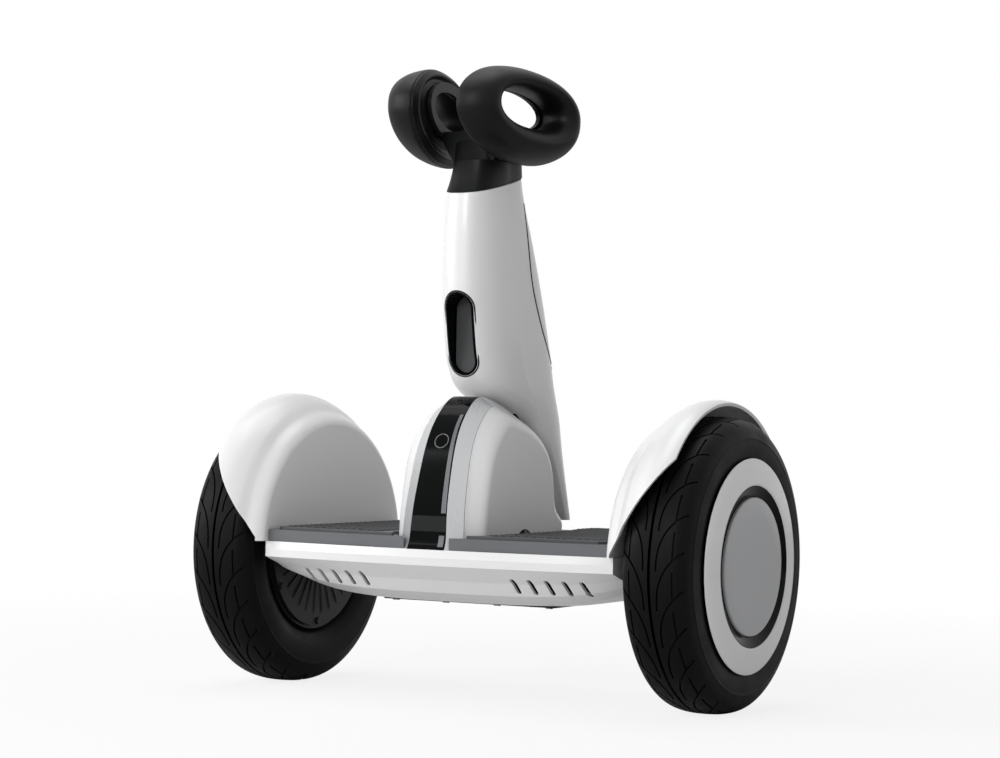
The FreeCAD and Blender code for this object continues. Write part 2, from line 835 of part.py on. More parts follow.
def deck_outline(side, inset, corner, blunt=0):
    """The outline of a step plate or mat: straight at the fender, fitted round the cowl.

    The point beside the cowl's band can be made blunt, by the length given.
    """
    front = DECK_FRONT
    side_front = size("hull_side_front")
    bow = (front - side_front) * DECK_BOW_SHARE
    inner = STEP_INNER
    room = GAP * 2
    face = size("hull_front") + room
    setback = size("band_setback")
    slope = size("band_width").number / setback.number
    nose = STRIP_EDGE + room + (face - front) * slope + blunt
    rear_inner = size("rear_cover_half_width") + GAP
    back, waist = DECK_BACK_SHARES
    corners = [
        (nose, -front), (STEP_OUTER - corner, -side_front - bow), (STEP_OUTER, -side_front + corner),
        (STEP_OUTER, side_front - corner), (STEP_OUTER - corner, side_front + bow), (rear_inner, front),
        (rear_inner, size("hull_front") * back), (inner, size("hull_front") * waist),
    ]
    shoulder = [(COWL_SIDE * out + GAP * 4, size("cowl_radius") * drop) for out, drop in COWL_SHOULDER_SHARES]
    corners += [(across, drop - face) for across, drop in reversed(shoulder)]
    corners.append((BAND_EDGE + room, setback - face))
    return [(across * side, along) for across, along in inset_corners(corners, inset)]


def make_deck_side(side_name, side):
    """One step plate, the mat in its recess and the two switches below the mat."""
    step = padded_body(deck_outline(side, 0, size("step_corner")), size("step_thickness"))
    border = size("mat_border")
    blunt = size("band_width")
    corner = size("mat_corner")
    recess = sketch_on(step, "XY_Plane")
    draw_corners(recess, deck_outline(side, border, corner, blunt))
    bind(recess, "AttachmentOffset.Base.z", size("step_thickness"))
    pocket = step.newObject("PartDesign::Pocket", "recess")
    pocket.Profile = recess
    bind(pocket, "Length", size("mat_recess"))
    place(step, 0, 0, DECK)
    keep(step, f"step_plate_{side_name}")
    mat_low = STEP_TOP - size("mat_recess") + size("mat_float")
    mat_edge = deck_outline(side, border + size("mat_side_gap"), corner, blunt)
    mat = padded_body(mat_edge, size("mat_thickness"))
    place(mat, 0, 0, mat_low)
    keep(mat, f"foot_mat_{side_name}")
    across = (STEP_INNER + STEP_OUTER) / 2 * side
    return [
        cylinder(size("switch_radius"), size("switch_height"), across,
                 size("hull_front") * share, STEP_TOP - size("mat_recess"))
        for share in SWITCH_PLACE_SHARES
    ]


foot_switches = []
for side_name, side in SIDES.items():
    foot_switches += make_deck_side(side_name, side)
keep(group(*foot_switches), "foot_switches")

# Fenders

FENDER_PROFILE_SHARES = (
    (0.00, 0.00), (0.03, 0.16), (0.13, 0.32), (0.25, 0.46), (0.33, 0.62), (0.43, 0.76),
    (0.53, 0.87), (0.63, 0.95), (0.75, 0.995), (0.84, 1.00), (1.00, 0.92),
)


def fender_profile(inset):
    """The flared part of a fender's section, moved inwards from its outer face."""
    start = vector(FENDER_WALL, WHEEL_RADIUS - size("fender_tuck"), 0)
    rise = float(size("fender_clearance") + size("fender_tuck"))
    pairs = scaled_points(FENDER_PROFILE_SHARES, size("fender_reach"), rise)
    points = [start + FreeCAD.Vector(across, out, 0) for across, out in pairs]
    moved = []
    for index, point in enumerate(points):
        before = points[max(0, index - 1)]
        after = points[min(len(points) - 1, index + 1)]
        along = (after - before).normalize()
        moved.append(point + FreeCAD.Vector(along.y, -along.x, 0) * inset)
    return moved


def make_fender(side_name, side):
    """A flared shell over the inner half of the wheel, trimmed along a slanting line."""
    skin = float(size("fender_thickness"))
    outer = fender_profile(0)
    inner = fender_profile(skin)
    place_x = float(FENDER_WALL)
    foot_inner = FreeCAD.Vector(inner[0].x, 0, 0)
    foot_outer = FreeCAD.Vector(place_x, 0, 0)
    edges = [
        spline_edge(outer), Part.makeLine(outer[-1], inner[-1]), spline_edge(list(reversed(inner))),
        Part.makeLine(inner[0], foot_inner), Part.makeLine(foot_inner, foot_outer),
        Part.makeLine(foot_outer, outer[0]),
    ]
    section = Part.Face(Part.Wire(edges))
    shell = section.revolve(FreeCAD.Vector(), AXIS_X, 360)
    shell.translate(vector(0, 0, WHEEL_RADIUS))
    low_level = float(level("fender_low_rise"))
    high_level = float(level("fender_high_rise"))
    low_place = place_x + float(size("fender_low_out"))
    end_place = place_x + float(size("fender_reach")) + skin
    reach = float(WHEEL_RADIUS + size("fender_clearance") + size("fender_reach"))
    top = float(WHEEL_RADIUS) + reach
    deck = float(DECK) + float(GAP)
    trim = [
        vector(place_x - skin, 0, deck), vector(low_place, 0, deck), vector(low_place, 0, low_level),
        vector(end_place, 0, high_level), vector(end_place, 0, top), vector(place_x - skin, 0, top),
    ]
    window = Part.Face(polygon_wire(trim)).extrude(vector(0, reach * 2, 0))
    window.translate(vector(0, -reach, 0))
    shape = shell.common(window)
    if side < 0:
        shape = shape.mirror(FreeCAD.Vector(), AXIS_X)
    keep(solid(shape), f"fender_{side_name}")


for side_name, side in SIDES.items():
    make_fender(side_name, side)

# Cowl: a dome of fanned sections about a line across the deck

COWL_RADIUS_SHARES = (
    (0, 0.717), (10, 0.692), (21, 0.712), (31, 0.742), (40, 0.785), (49, 0.846),
    (57, 0.905), (66, 0.960), (77, 0.997), (83, 0.967), (92, 0.927), (103, 0.89),
    (114, 0.853), (131, 0.75), (155, 0.66), (180, 0.60),
)
COWL_INNER_SHARE = 0.12
COWL_FOOT_SHARE = 1.2
COWL_TOP_ANGLE = 77
CAP_ANGLE = 67
BAND_TOP_SPLITS = 6
FAN_REACH_SHARES = (0.24, 1.2)
FAN_STEPS = 8
COWL_CENTRE = vector(0, -size("cowl_centre_back"), DECK)


def fan_point(angle, radius, across):
    """A point of the cowl, at an angle up from the front about the line across the deck."""
    turn = math.radians(angle)
    along = COWL_CENTRE.y - radius * math.cos(turn)
    return FreeCAD.Vector(across, along, COWL_CENTRE.z + radius * math.sin(turn))


def cowl_radius(angle):
    """The cowl's reach at one angle, between the stations that are given."""
    for (low, low_share), (high, high_share) in zip(COWL_RADIUS_SHARES, COWL_RADIUS_SHARES[1:]):
        if low <= angle <= high:
            share = low_share + (high_share - low_share) * (angle - low) / (high - low)
            return share * float(size("cowl_radius"))
    return float(size("cowl_radius"))


def strip_half(angle):
    """The half width of the front strip, which narrows towards the top."""
    share = min(1, angle / COWL_TOP_ANGLE)
    return float(STRIP_EDGE) * (1 - share) + float(size("strip_top_half_width")) * share


def cowl_section(angle, radius_share, inset):
    """The cowl's section at one angle: flat strip, slanting band, rounded shoulder and side."""
    scale = float(size("cowl_radius"))
    radius = radius_share * scale - inset
    strip = strip_half(angle)
    band = strip + float(size("band_width"))
    half_width = float(COWL_SIDE) - inset
    setback = radius - float(size("band_setback"))
    shoulder = [(band, setback)]
    shoulder += [(half_width * out, radius - drop * scale) for out, drop in COWL_SHOULDER_SHARES]
    low = scale * COWL_INNER_SHARE - inset * COWL_FOOT_SHARE

    def edges(hand):
        flank = [fan_point(angle, reach, across * hand) for across, reach in shoulder]
        return [
            Part.makeLine(fan_point(angle, radius, strip * hand), flank[0]),
            spline_edge(flank),
            Part.makeLine(flank[-1], fan_point(angle, low, half_width * hand)),
        ]

    top = Part.makeLine(fan_point(angle, radius, -strip), fan_point(angle, radius, strip))
    foot = Part.makeLine(fan_point(angle, low, half_width), fan_point(angle, low, -half_width))
    return Part.Wire(Part.__sortEdges__([top] + edges(1) + [foot] + edges(-1)))


def cowl_form(inset):
    """The whole dome as one solid; an inner form runs a little way past both of its ends."""
    over = math.degrees(inset / float(size("cowl_radius"))) * 2
    stations = list(COWL_RADIUS_SHARES)
    stations[0] = (stations[0][0] - over, stations[0][1])
    stations[-1] = (stations[-1][0] + over, stations[-1][1])
    return loft([cowl_section(angle, share, inset) for angle, share in stations])


def fan_block(low_angle, high_angle, half_low, half_high):
    """A wedge that spans an angle of the cowl between two half widths, as a tool."""
    inner, outer = (float(size("cowl_radius")) * share for share in FAN_REACH_SHARES)
    wires = []
    for index in range(FAN_STEPS + 1):
        angle = low_angle + (high_angle - low_angle) * index / FAN_STEPS
        low, high = half_low(angle), half_high(angle)
        corners = [(low, inner), (high, inner), (high, outer), (low, outer)]
        wires.append(polygon_wire([fan_point(angle, reach, across) for across, reach in corners]))
    return loft(wires)


def make_cowl():
    """Front panel, headlight lens, top cap, bezel band and the two side shells."""
    gap = float(size("panel_gap"))
    skin = cowl_form(0).cut(cowl_form(float(size("cowl_wall"))))
    band = float(size("band_width"))
    light_low = float(size("light_low_angle"))
    light_high = float(size("light_high_angle"))
    split = math.degrees(gap / float(size("cowl_radius")))

    def strip(angle):
        return strip_half(angle) - gap / 2

    def strip_left(angle):
        return -strip(angle)

    def band_out(angle):
        return strip_half(angle) + band - gap / 2

    def band_left(angle):
        return -band_out(angle)

    panel = skin.common(fan_block(0, CAP_ANGLE, strip_left, strip))
    light = fan_block(light_low, light_high, strip_left, strip)
    light_room = fan_block(light_low - split, light_high + split, strip_left, strip)
    button_hole = button_rod(float(size("button_radius") + GAP), float(size("button_thickness")) * 4)
    keep(solid(skin.common(light)), "headlight_lens")
    keep(solid(panel.cut([light_room, button_hole]).removeSplitter()), "front_panel")
    cap = skin.common(fan_block(CAP_ANGLE + split, COWL_TOP_ANGLE, strip_left, strip))
    keep(solid(cap), "cowl_top_cap")
    strip_room = fan_block(0, COWL_TOP_ANGLE + split, lambda angle: -strip_half(angle) - gap / 2,
                           lambda angle: strip_half(angle) + gap / 2)
    band_top = COWL_TOP_ANGLE + split * BAND_TOP_SPLITS
    bezel = skin.common(fan_block(0, band_top, band_left, band_out)).cut(strip_room)
    keep(solid(bezel), "bezel_band")
    band_room = fan_block(0, band_top + split, lambda angle: -strip_half(angle) - band - gap / 2,
                          lambda angle: strip_half(angle) + band + gap / 2)
    slot_half = float(size("arm_half_width")) + float(size("cowl_radius")) * math.tan(
        math.radians(float(size("lean_angle"))))
    slot_front = float(size("arm_front")) - float(size("arm_clearance"))
    slot_rear = float(size("arm_rear")) + float(size("arm_clearance"))
    slot = Part.makeBox(slot_half * 2, slot_rear - slot_front, float(size("cowl_radius")),
                        vector(-slot_half, slot_front, PIVOT + size("pivot_boss_radius")))
    shells = skin.cut([band_room, slot])
    width = float(COWL_SIDE) * 2
    height = float(size("cowl_radius")) * 3
    for side_name, side in SIDES.items():
        start = gap / 2 if side > 0 else -gap / 2 - width
        room = Part.makeBox(width, height, height, vector(start, -height / 2, 0))
        keep(solid(shells.common(room)), f"cowl_shell_{side_name}")


BUTTON_SUNK_SHARE = 0.9
BUTTON_FILLET_SHARE = 0.15
BUTTON_STEM_SHARES = (0.4, 1.7)


def button_frame():
    """The middle of the power button on the cowl, and the direction out of the surface."""
    angle = float(size("button_angle"))
    before = fan_point(angle - 1, cowl_radius(angle - 1), 0)
    after = fan_point(angle + 1, cowl_radius(angle + 1), 0)
    along = (after - before).normalize()
    out = FreeCAD.Vector(0, -along.z, along.y)
    return fan_point(angle, cowl_radius(angle), 0), out


def button_rod(radius, length):
    """A rod of the given size, centred on the button and square to the cowl there."""
    middle, out = button_frame()
    return Part.makeCylinder(radius, length, middle - out * (length / 2), out)


def make_power_button():
    """A round button with a domed cap and a stem behind it."""
    middle, out = button_frame()
    thickness = float(size("button_thickness"))
    radius = float(size("button_radius"))
    cap = Part.makeCylinder(radius, thickness, middle - out * (thickness * BUTTON_SUNK_SHARE), out)
    face = middle + out * (thickness * (1 - BUTTON_SUNK_SHARE))
    rim = [edge for edge in cap.Edges if edge.Closed and edge.CenterOfMass.isEqual(face, thickness / 2)]
    cap = cap.makeFillet(thickness * BUTTON_FILLET_SHARE, rim)
    stem_share, stem_depth_share = BUTTON_STEM_SHARES
    foot = middle - out * (thickness * stem_depth_share)
    stem = Part.makeCylinder(radius * stem_share, thickness, foot, out)
    keep(solid(cap.fuse(stem)), "power_button")


make_cowl()
make_power_button()

# Rear deck cover, tail light and charging socket

REAR_FRONT_SHARE = 0.58
SOCKET_BORE_SHARE = 0.6
SOCKET_DEPTH_SHARE = 0.7
CAP_LAP_SHARE = 1.15
CAP_TAB_SHARE = 0.5
REAR_INNER = size("rear_cover_half_width")
REAR_FRONT = size("hull_front") * REAR_FRONT_SHARE
REAR_END = DECK_FRONT - GAP
rear_cover = padded_body([
    (-REAR_INNER, REAR_FRONT), (REAR_INNER, REAR_FRONT), (REAR_INNER, REAR_END), (-REAR_INNER, REAR_END),
], size("step_thickness"))
keep(place(rear_cover, 0, 0, DECK), "rear_deck_cover")
LIGHT_HALF = size("tail_light_length") / 2
LIGHT_LOW = DECK + (size("step_thickness") - size("tail_light_height")) / 2
LIGHT_FACE = REAR_END + size("tail_light_depth")
LIGHT_TOP = LIGHT_LOW + size("tail_light_height")
keep(box((-LIGHT_HALF, REAR_END, LIGHT_LOW), (LIGHT_HALF, LIGHT_FACE, LIGHT_TOP)), "tail_light")
PORT_LEVEL = DECK - size("hull_band") / 2
PORT_FACE = size("hull_front") + size("hull_bulge") + GAP
PORT_RADIUS = size("charge_radius")
PORT_DEPTH = size("charge_depth")
BORE_RADIUS = PORT_RADIUS * SOCKET_BORE_SHARE
BORE_DEPTH = PORT_DEPTH * SOCKET_DEPTH_SHARE
socket_body = cylinder(PORT_RADIUS, PORT_DEPTH, 0, PORT_FACE - PORT_DEPTH, PORT_LEVEL, ALONG_Y)
socket_bore = cylinder(BORE_RADIUS, BORE_DEPTH, 0, PORT_FACE - BORE_DEPTH, PORT_LEVEL, ALONG_Y)
keep(cut(socket_body, socket_bore), "charge_socket")
CAP_FACE = PORT_FACE + GAP
CAP_THICKNESS = size("charge_cap_thickness")
CAP_RADIUS = PORT_RADIUS * CAP_LAP_SHARE
TAB_HALF = PORT_RADIUS * CAP_TAB_SHARE
HINGE_LEVEL = PORT_LEVEL + CAP_RADIUS + CAP_THICKNESS
cap_disc = cylinder(CAP_RADIUS, CAP_THICKNESS, 0, CAP_FACE, PORT_LEVEL, ALONG_Y)
cap_tab = box((-TAB_HALF, CAP_FACE, PORT_LEVEL), (TAB_HALF, CAP_FACE + CAP_THICKNESS, HINGE_LEVEL))
hinge_place = CAP_FACE + size("charge_hinge_radius")
cap_hinge = cylinder(size("charge_hinge_radius"), TAB_HALF * 2, -TAB_HALF, hinge_place, HINGE_LEVEL, ALONG_X)
keep(fuse(cap_disc, cap_tab, cap_hinge), "charge_cap")

SCREW_ALONG_SHARES = (-0.9, -0.3, 0.3, 0.9)
SCREW_DEPTH_SHARES = (-0.85, 0.85)
LOW_HEAD = size("cover_screw_head")
screws = []
for out in SCREW_ALONG_SHARES:
    for forth in SCREW_DEPTH_SHARES:
        spot = (BATTERY_LENGTH * out, BATTERY_DEPTH * forth, HULL_FLOOR - LOW_HEAD)
        screws.append(cylinder(size("screw_head_radius"), LOW_HEAD, *spot))
keep(group(*screws), "battery_cover_screws")

# Steering pivot


def make_pivot_bracket():
    """The fixed bracket: a foot on the frame and two ears that hold the bushes."""
    half = size("pivot_foot_half_width")
    front, rear = size("pivot_front"), size("pivot_rear")
    ear = size("pivot_ear_thickness")
    boss = size("pivot_boss_radius")
    length = rear - front + OVERRUN * 2
    start = front - OVERRUN
    foot = box((-half, front, FRAME_TOP), (half, rear, FRAME_TOP + ear / 2))
    shapes = [foot]
    for face in (front, rear - ear):
        shapes.append(box((-boss, face, FRAME_TOP), (boss, face + ear, PIVOT)))
        shapes.append(cylinder(boss, ear, 0, face, PIVOT, ALONG_Y))
    bore = cylinder(size("pivot_bearing_radius"), length, 0, start, PIVOT, ALONG_Y)
    keep(cut(fuse(*shapes), bore), "pivot_bracket")
    rings = []
    for face in (front, rear - ear):
        outer = cylinder(size("pivot_bearing_radius"), ear, 0, face, PIVOT, ALONG_Y)
        inner = cylinder(size("pivot_shaft_radius") + size("axle_clearance"), ear, 0, face, PIVOT, ALONG_Y)
        rings.append(cut(outer, inner))
    keep(group(*rings), "pivot_bearings")
    keep(cylinder(size("pivot_shaft_radius"), length, 0, start, PIVOT, ALONG_Y), "pivot_shaft")


make_pivot_bracket()

# Stem: arm, tube, shells and pocket

RAKE = math.radians(float(size("stem_rake_angle")))
TUBE_AXIS = FreeCAD.Vector(0, -math.sin(RAKE), math.cos(RAKE))
STEM_STATIONS_SHARES = (
    (0.000, 0.620, 0.650, 0.800, 0.90), (0.075, 0.535, 0.570, 0.755, 0.93),
    (0.210, 0.310, 0.385, 0.670, 1.02), (0.297, 0.128, 0.225, 0.632, 1.09),
    (0.340, -0.070, 0.125, 0.600, 1.12), (0.375, -0.320, 0.045, 0.573, 1.14),
    (0.410, -0.420, -0.030, 0.555, 1.15), (0.470, -0.490, -0.095, 0.525, 1.15),
    (0.560, -0.530, -0.155, 0.460, 1.14), (0.668, -0.560, -0.200, 0.373, 1.10),
    (0.800, -0.563, -0.240, 0.247, 1.04), (0.930, -0.545, -0.262, 0.113, 0.95),
    (1.000, -0.530, -0.270, 0.067, 0.92),
)


STEM_CREASE_SHARE = 0.6
STEM_FACE_SHARES = ((1.0, 1.0), (0.90, 0.60), (0.72, 0.29), (0.42, 0.075), (0.0, 0.0))
STEM_BACK_SHARES = ((1.0, 0.0), (0.97, 0.45), (0.72, 0.82), (0.0, 1.0))
STEM_LEVELS = 30
SEAM_SHARES = (
    (-0.01, 1.216), (-0.007, 0.939), (0.06, 0.677), (0.373, 0.460), (0.60, 0.415), (1.2, 0.415),
    (1.2, 1.216),
)


def between_stations(column, place):
    """A column of the stem's stations at one height share, on a curve that never overshoots them."""
    rows = [(row[0], row[column]) for row in STEM_STATIONS_SHARES]
    slopes = [(after[1] - before[1]) / (after[0] - before[0]) for before, after in zip(rows, rows[1:])]
    inner = [0 if one * two <= 0 else 2 * one * two / (one + two) for one, two in zip(slopes, slopes[1:])]
    tangents = [slopes[0], *inner, slopes[-1]]
    place = min(max(place, rows[0][0]), rows[-1][0])
    index = next(number for number, row in enumerate(rows[1:]) if place <= row[0])
    (low, start), (high, end) = rows[index], rows[index + 1]
    width = high - low
    part = (place - low) / width
    rest = 1 - part
    bend = part * rest * width * (tangents[index] * rest - tangents[index + 1] * part)
    return start * rest * rest * (1 + 2 * part) + end * part * part * (3 - 2 * part) + bend


def stem_section(place, inset):
    """One level section of the stem: a round nose, a crease down each side and a round rear.

    An inner section takes its nose from a little lower down, so that the belly keeps its wall.
    """
    reach = float(size("stem_reach"))
    tall = float(size("stem_height"))
    height = float(level("stem_foot_rise")) + place * tall
    half = float(size("stem_low_half_width")) * between_stations(4, place) - inset
    front = between_stations(1, place - inset / tall) * reach + inset
    crease = between_stations(2, place) * reach + inset * STEM_CREASE_SHARE
    rear = between_stations(3, place) * reach - inset
    face = [(half * out, front + (crease - front) * drop) for out, drop in STEM_FACE_SHARES]
    back = [(half * out, crease + (rear - crease) * drop) for out, drop in STEM_BACK_SHARES]
    edges = []
    for line in (face, back):
        mirrored = [(-across, along) for across, along in reversed(line[:-1])]
        edges.append(spline_edge([vector(across, along, height) for across, along in line + mirrored]))
    return Part.Wire(Part.__sortEdges__(edges))


def stem_form(inset):
    """The stem's whole form, or the room inside its wall."""
    return loft([stem_section(index / STEM_LEVELS, inset) for index in range(STEM_LEVELS + 1)])


def side_prism(points, half_width):
    """A tool extruded across X from points of (along, up)."""
    face = Part.Face(polygon_wire([vector(-half_width, along, up) for along, up in points]))
    return face.extrude(vector(half_width * 2, 0, 0))


def stadium_tool(width, length, depth, front, middle):
    """A slot with round ends, upright on the stem's front and cut straight back."""
    radius = float(width) / 2
    straight = float(length) - float(width)
    low = float(middle) - straight / 2
    slab = Part.makeBox(radius * 2, float(depth), straight, vector(-radius, front, low))
    spots = [vector(0, front, height) for height in (low, low + straight)]
    ends = [Part.makeCylinder(radius, float(depth), spot, AXIS_Y) for spot in spots]
    return slab.fuse(ends).removeSplitter()


def stem_cap_tool():
    """Everything above the slanting top seam of the stem."""
    reach = float(size("stem_reach"))
    top = float(level("stem_top_rise"))
    slope = math.tan(math.radians(float(size("seam_angle"))))
    edge = float(size("neck_front"))
    corners = [(along, top + slope * (along + edge)) for along in (-reach, reach)]
    return side_prism(corners + [(reach, top + reach * 2), (-reach, top + reach * 2)], reach)


def make_stem():
    """The moulded shells of the stem, split at the rear seam, and the pocket in the front."""
    wall = float(size("stem_wall"))
    gap = float(GAP)
    reach = float(size("stem_reach"))
    form = stem_form(0).cut(stem_cap_tool())
    shell = form.cut(stem_form(wall))
    foot = float(level("stem_foot_rise"))
    seam = [(along, foot + up) for along, up in scaled_points(SEAM_SHARES, reach, size("stem_height"))]
    rear_tool = side_prism(seam, reach)
    front_tool = rear_tool.copy()
    front_tool.translate(FreeCAD.Vector(0, -gap, -gap))
    pocket_start = -reach
    pocket_reach = reach - float(size("pocket_front")) + float(size("pocket_depth"))
    middle = level("pocket_rise")
    width, length = size("pocket_width"), size("pocket_length")
    hole = stadium_tool(width + GAP, length + GAP, pocket_reach, pocket_start, middle)
    arm = float(size("arm_half_width")) + wall
    arm_depth = float(size("arm_rear") - size("arm_front")) + wall * 2
    arm_corner = vector(-arm, float(size("arm_front")) - wall, level("arm_room_rise"))
    arm_room = Part.makeBox(arm * 2, arm_depth, float(length), arm_corner)
    keep(solid(shell.common(rear_tool)), "stem_rear_cover")
    keep(solid(shell.cut([front_tool, hole, arm_room])), "stem_front_shell")
    outer = stadium_tool(width, length, pocket_reach, pocket_start, middle)
    lining = size("pocket_wall")
    room_reach = pocket_reach - float(lining)
    inner = stadium_tool(width - lining * 2, length - lining * 2, room_reach, pocket_start, middle)
    cup = outer.cut(inner).common(form)
    keep(solid(cup), "pocket_liner")


make_stem()


def tube_point(height):
    """The point of the tube's axis at one level."""
    drop = float(level("stem_top_rise")) - height
    return FreeCAD.Vector(0, float(size("tube_place")) + drop * math.tan(RAKE), height)


def tube_piece(outer, inner, low_level, high_level):
    low = tube_point(float(low_level))
    length = (tube_point(float(high_level)) - low).Length
    rod = Part.makeCylinder(float(outer), length, low, TUBE_AXIS)
    return rod.cut(Part.makeCylinder(float(inner), length, low, TUBE_AXIS))


TUBE_BORE = size("tube_radius") - size("tube_wall")
INNER_TUBE_RADIUS = TUBE_BORE - size("tube_clearance")
keep(solid(tube_piece(size("tube_radius"), TUBE_BORE, level("tube_bottom_rise"), level("tube_top_rise"))),
     "stem_tube")
ARM_BEND_SHARE = 0.7
ARM_CLEAR_SHARE = 1.2
COLLAR_LENGTH_SHARE = 2.2
COLLAR_WEB_SHARE = 0.4
COLLAR_DROP_SHARE = 0.12


def make_arm():
    """The cast arm from the pivot shaft up to the foot of the stem tube."""
    half = float(size("arm_half_width"))
    pivot = float(PIVOT)
    boss = float(size("pivot_boss_radius"))
    front = float(size("arm_front"))
    rear = float(size("arm_rear"))
    low = float(level("tube_bottom_rise"))
    foot = tube_point(low)
    hub_front = float(size("pivot_front") + size("pivot_ear_thickness") + GAP)
    hub_rear = float(size("pivot_rear") - size("pivot_ear_thickness") - GAP)
    hub = Part.makeCylinder(boss, hub_rear - hub_front, vector(0, hub_front, pivot), AXIS_Y)
    bend = pivot + (low - pivot) * ARM_BEND_SHARE
    clear = pivot + boss * ARM_CLEAR_SHARE
    length = float(size("tube_radius")) * COLLAR_LENGTH_SHARE
    high = low + length * COLLAR_WEB_SHARE
    web = side_prism([
        (hub_front + boss, pivot), (hub_rear, pivot), (hub_rear, clear), (rear, bend), (rear, high),
        (front, high), (front, bend),
    ], half)
    collar_radius = float(size("tube_radius")) + float(size("stem_wall"))
    collar_foot = foot - TUBE_AXIS * (length * COLLAR_DROP_SHARE)
    collar = Part.makeCylinder(collar_radius, length, collar_foot, TUBE_AXIS)
    room = Part.makeCylinder(float(size("tube_radius")), length, foot, TUBE_AXIS)
    shaft_radius = float(size("pivot_shaft_radius"))
    shaft = Part.makeCylinder(shaft_radius, hub_rear - hub_front, vector(0, hub_front, pivot), AXIS_Y)
    keep(solid(hub.fuse([web, collar]).cut([room, shaft]).removeSplitter()), "steering_arm")


make_arm()

# Knee bar

RING_STATIONS = 20
RING_ROUND_STEPS = 12
RING_POWER_SHARE = 0.87


def ring_frame(side):
    """The placement of one ring: its middle, its outward flare and its tilt."""
    middle = vector(size("ring_centre_side") * side, size("ring_centre_place"), level("ring_centre_rise"))
    flare = FreeCAD.Rotation(AXIS_Z, -float(size("ring_flare_angle")) * side)
    tilt = FreeCAD.Rotation(AXIS_X, -float(size("ring_tilt_angle")))
    return FreeCAD.Placement(middle, flare.multiply(tilt))


def ring_hole():
    """The half length, half height and middle of the opening through one ring."""
    front, rear = float(size("ring_front_bar")), float(size("ring_rear_bar"))
    top, low = float(size("ring_top_bar")), float(size("ring_low_bar"))
    half_length = float(size("ring_half_length")) - (front + rear) / 2
    half_height = float(size("ring_half_height")) - (top + low) / 2
    return half_length, half_height, FreeCAD.Vector(0, (front - rear) / 2, (low - top) / 2)


def oval_point(turn, radius_along, radius_up):
    """A point of an oval that is a little fuller than an ellipse, in the ring's plane."""
    across, up = math.cos(turn), math.sin(turn)
    along = radius_along * math.copysign(abs(across) ** RING_POWER_SHARE, across)
    rise = radius_up * math.copysign(abs(up) ** RING_POWER_SHARE, up)
    return FreeCAD.Vector(0, along, rise)


def closed_ring(rows):
    """A smooth ring from rows of points that go round it, closed both ways."""
    surface = Part.BSplineSurface()
    knots = [list(range(len(line) + 1)) for line in (rows, rows[0])]
    repeats = [[1] * len(line) for line in knots]
    surface.buildFromPolesMultsKnots(rows, *repeats, *knots, True, True, 3, 3)
    return Part.Solid(Part.Shell([surface.toShape()]))


def spread(count):
    """How far out the points of a smooth closed curve lie, as a share of the curve's own reach."""
    return 3 / (2 + math.cos(2 * math.pi / count))


def make_ring_pad(side_name, side):
    """A soft pad shaped as a thick oval ring, flat where the core's plate backs it."""
    half = float(size("ring_half_thickness"))
    hole_length, hole_height, shift = ring_hole()
    rows = []
    for index in range(RING_STATIONS):
        turn = 2 * math.pi * index / RING_STATIONS
        outer = oval_point(turn, float(size("ring_half_length")), float(size("ring_half_height")))
        inner = oval_point(turn, hole_length, hole_height)
        middle = (outer + inner) / 2 * spread(RING_STATIONS) + shift / 2
        reach = (outer - inner) / 2 * spread(RING_ROUND_STEPS) - shift / 2
        rows.append([
            middle + AXIS_X * half * math.sin(roll) * spread(RING_ROUND_STEPS) + reach * math.cos(roll)
            for roll in (2 * math.pi * step / RING_ROUND_STEPS for step in range(RING_ROUND_STEPS))
        ])
    ring = closed_ring(rows)
    plate = float(size("plate_thickness"))
    reach = float(size("ring_half_length")) * 2
    backing = Part.makeBox(reach, reach * 2, reach * 2, FreeCAD.Vector(0, -reach, -reach))
    backing.translate(FreeCAD.Vector(-half + plate if side > 0 else half - plate - reach, 0, 0))
    pad = ring.common(backing)
    keep(solid(pad, ring_frame(side)), f"knee_pad_{side_name}")


def ring_plate(side):
    """One oval plate of the core, behind the pad and round its opening."""
    border = float(size("plate_border"))
    hole_length, hole_height, shift = ring_hole()
    wires = []
    for extra in (border, 0):
        oval = Part.Ellipse(FreeCAD.Vector(), hole_length + extra, hole_height + extra)
        edge = oval.toShape()
        edge.rotate(FreeCAD.Vector(), AXIS_Z, 90)
        edge.rotate(FreeCAD.Vector(), AXIS_Y, 90)
        edge.translate(shift)
        wires.append(Part.Wire(edge))
    half = float(size("ring_half_thickness"))
    thickness = float(size("plate_thickness")) - float(GAP)
    start = -half if side > 0 else half - thickness
    blank = Part.Face(wires[0]).extrude(FreeCAD.Vector(thickness, 0, 0))
    opening = Part.Face(wires[1]).extrude(FreeCAD.Vector(thickness + float(OVERRUN) * 2, 0, 0))
    opening.translate(FreeCAD.Vector(-float(OVERRUN), 0, 0))
    plate = blank.cut(opening)
    plate.translate(FreeCAD.Vector(start, 0, 0))
    plate.Placement = ring_frame(side).multiply(plate.Placement)
    return plate


NECK_POINTS = 16
NECK_POWER_SHARE = 0.6
NECK_WIDTH_SHARES = (1.06, 0.95, 0.90)
CORE_SECTION_SHARES = ((0.0, 0.62), (0.45, 0.80), (1.0, 1.0))
CORE_TAPER_SHARE = 0.167
RELEASE_PRESS_SHARE = 0.75


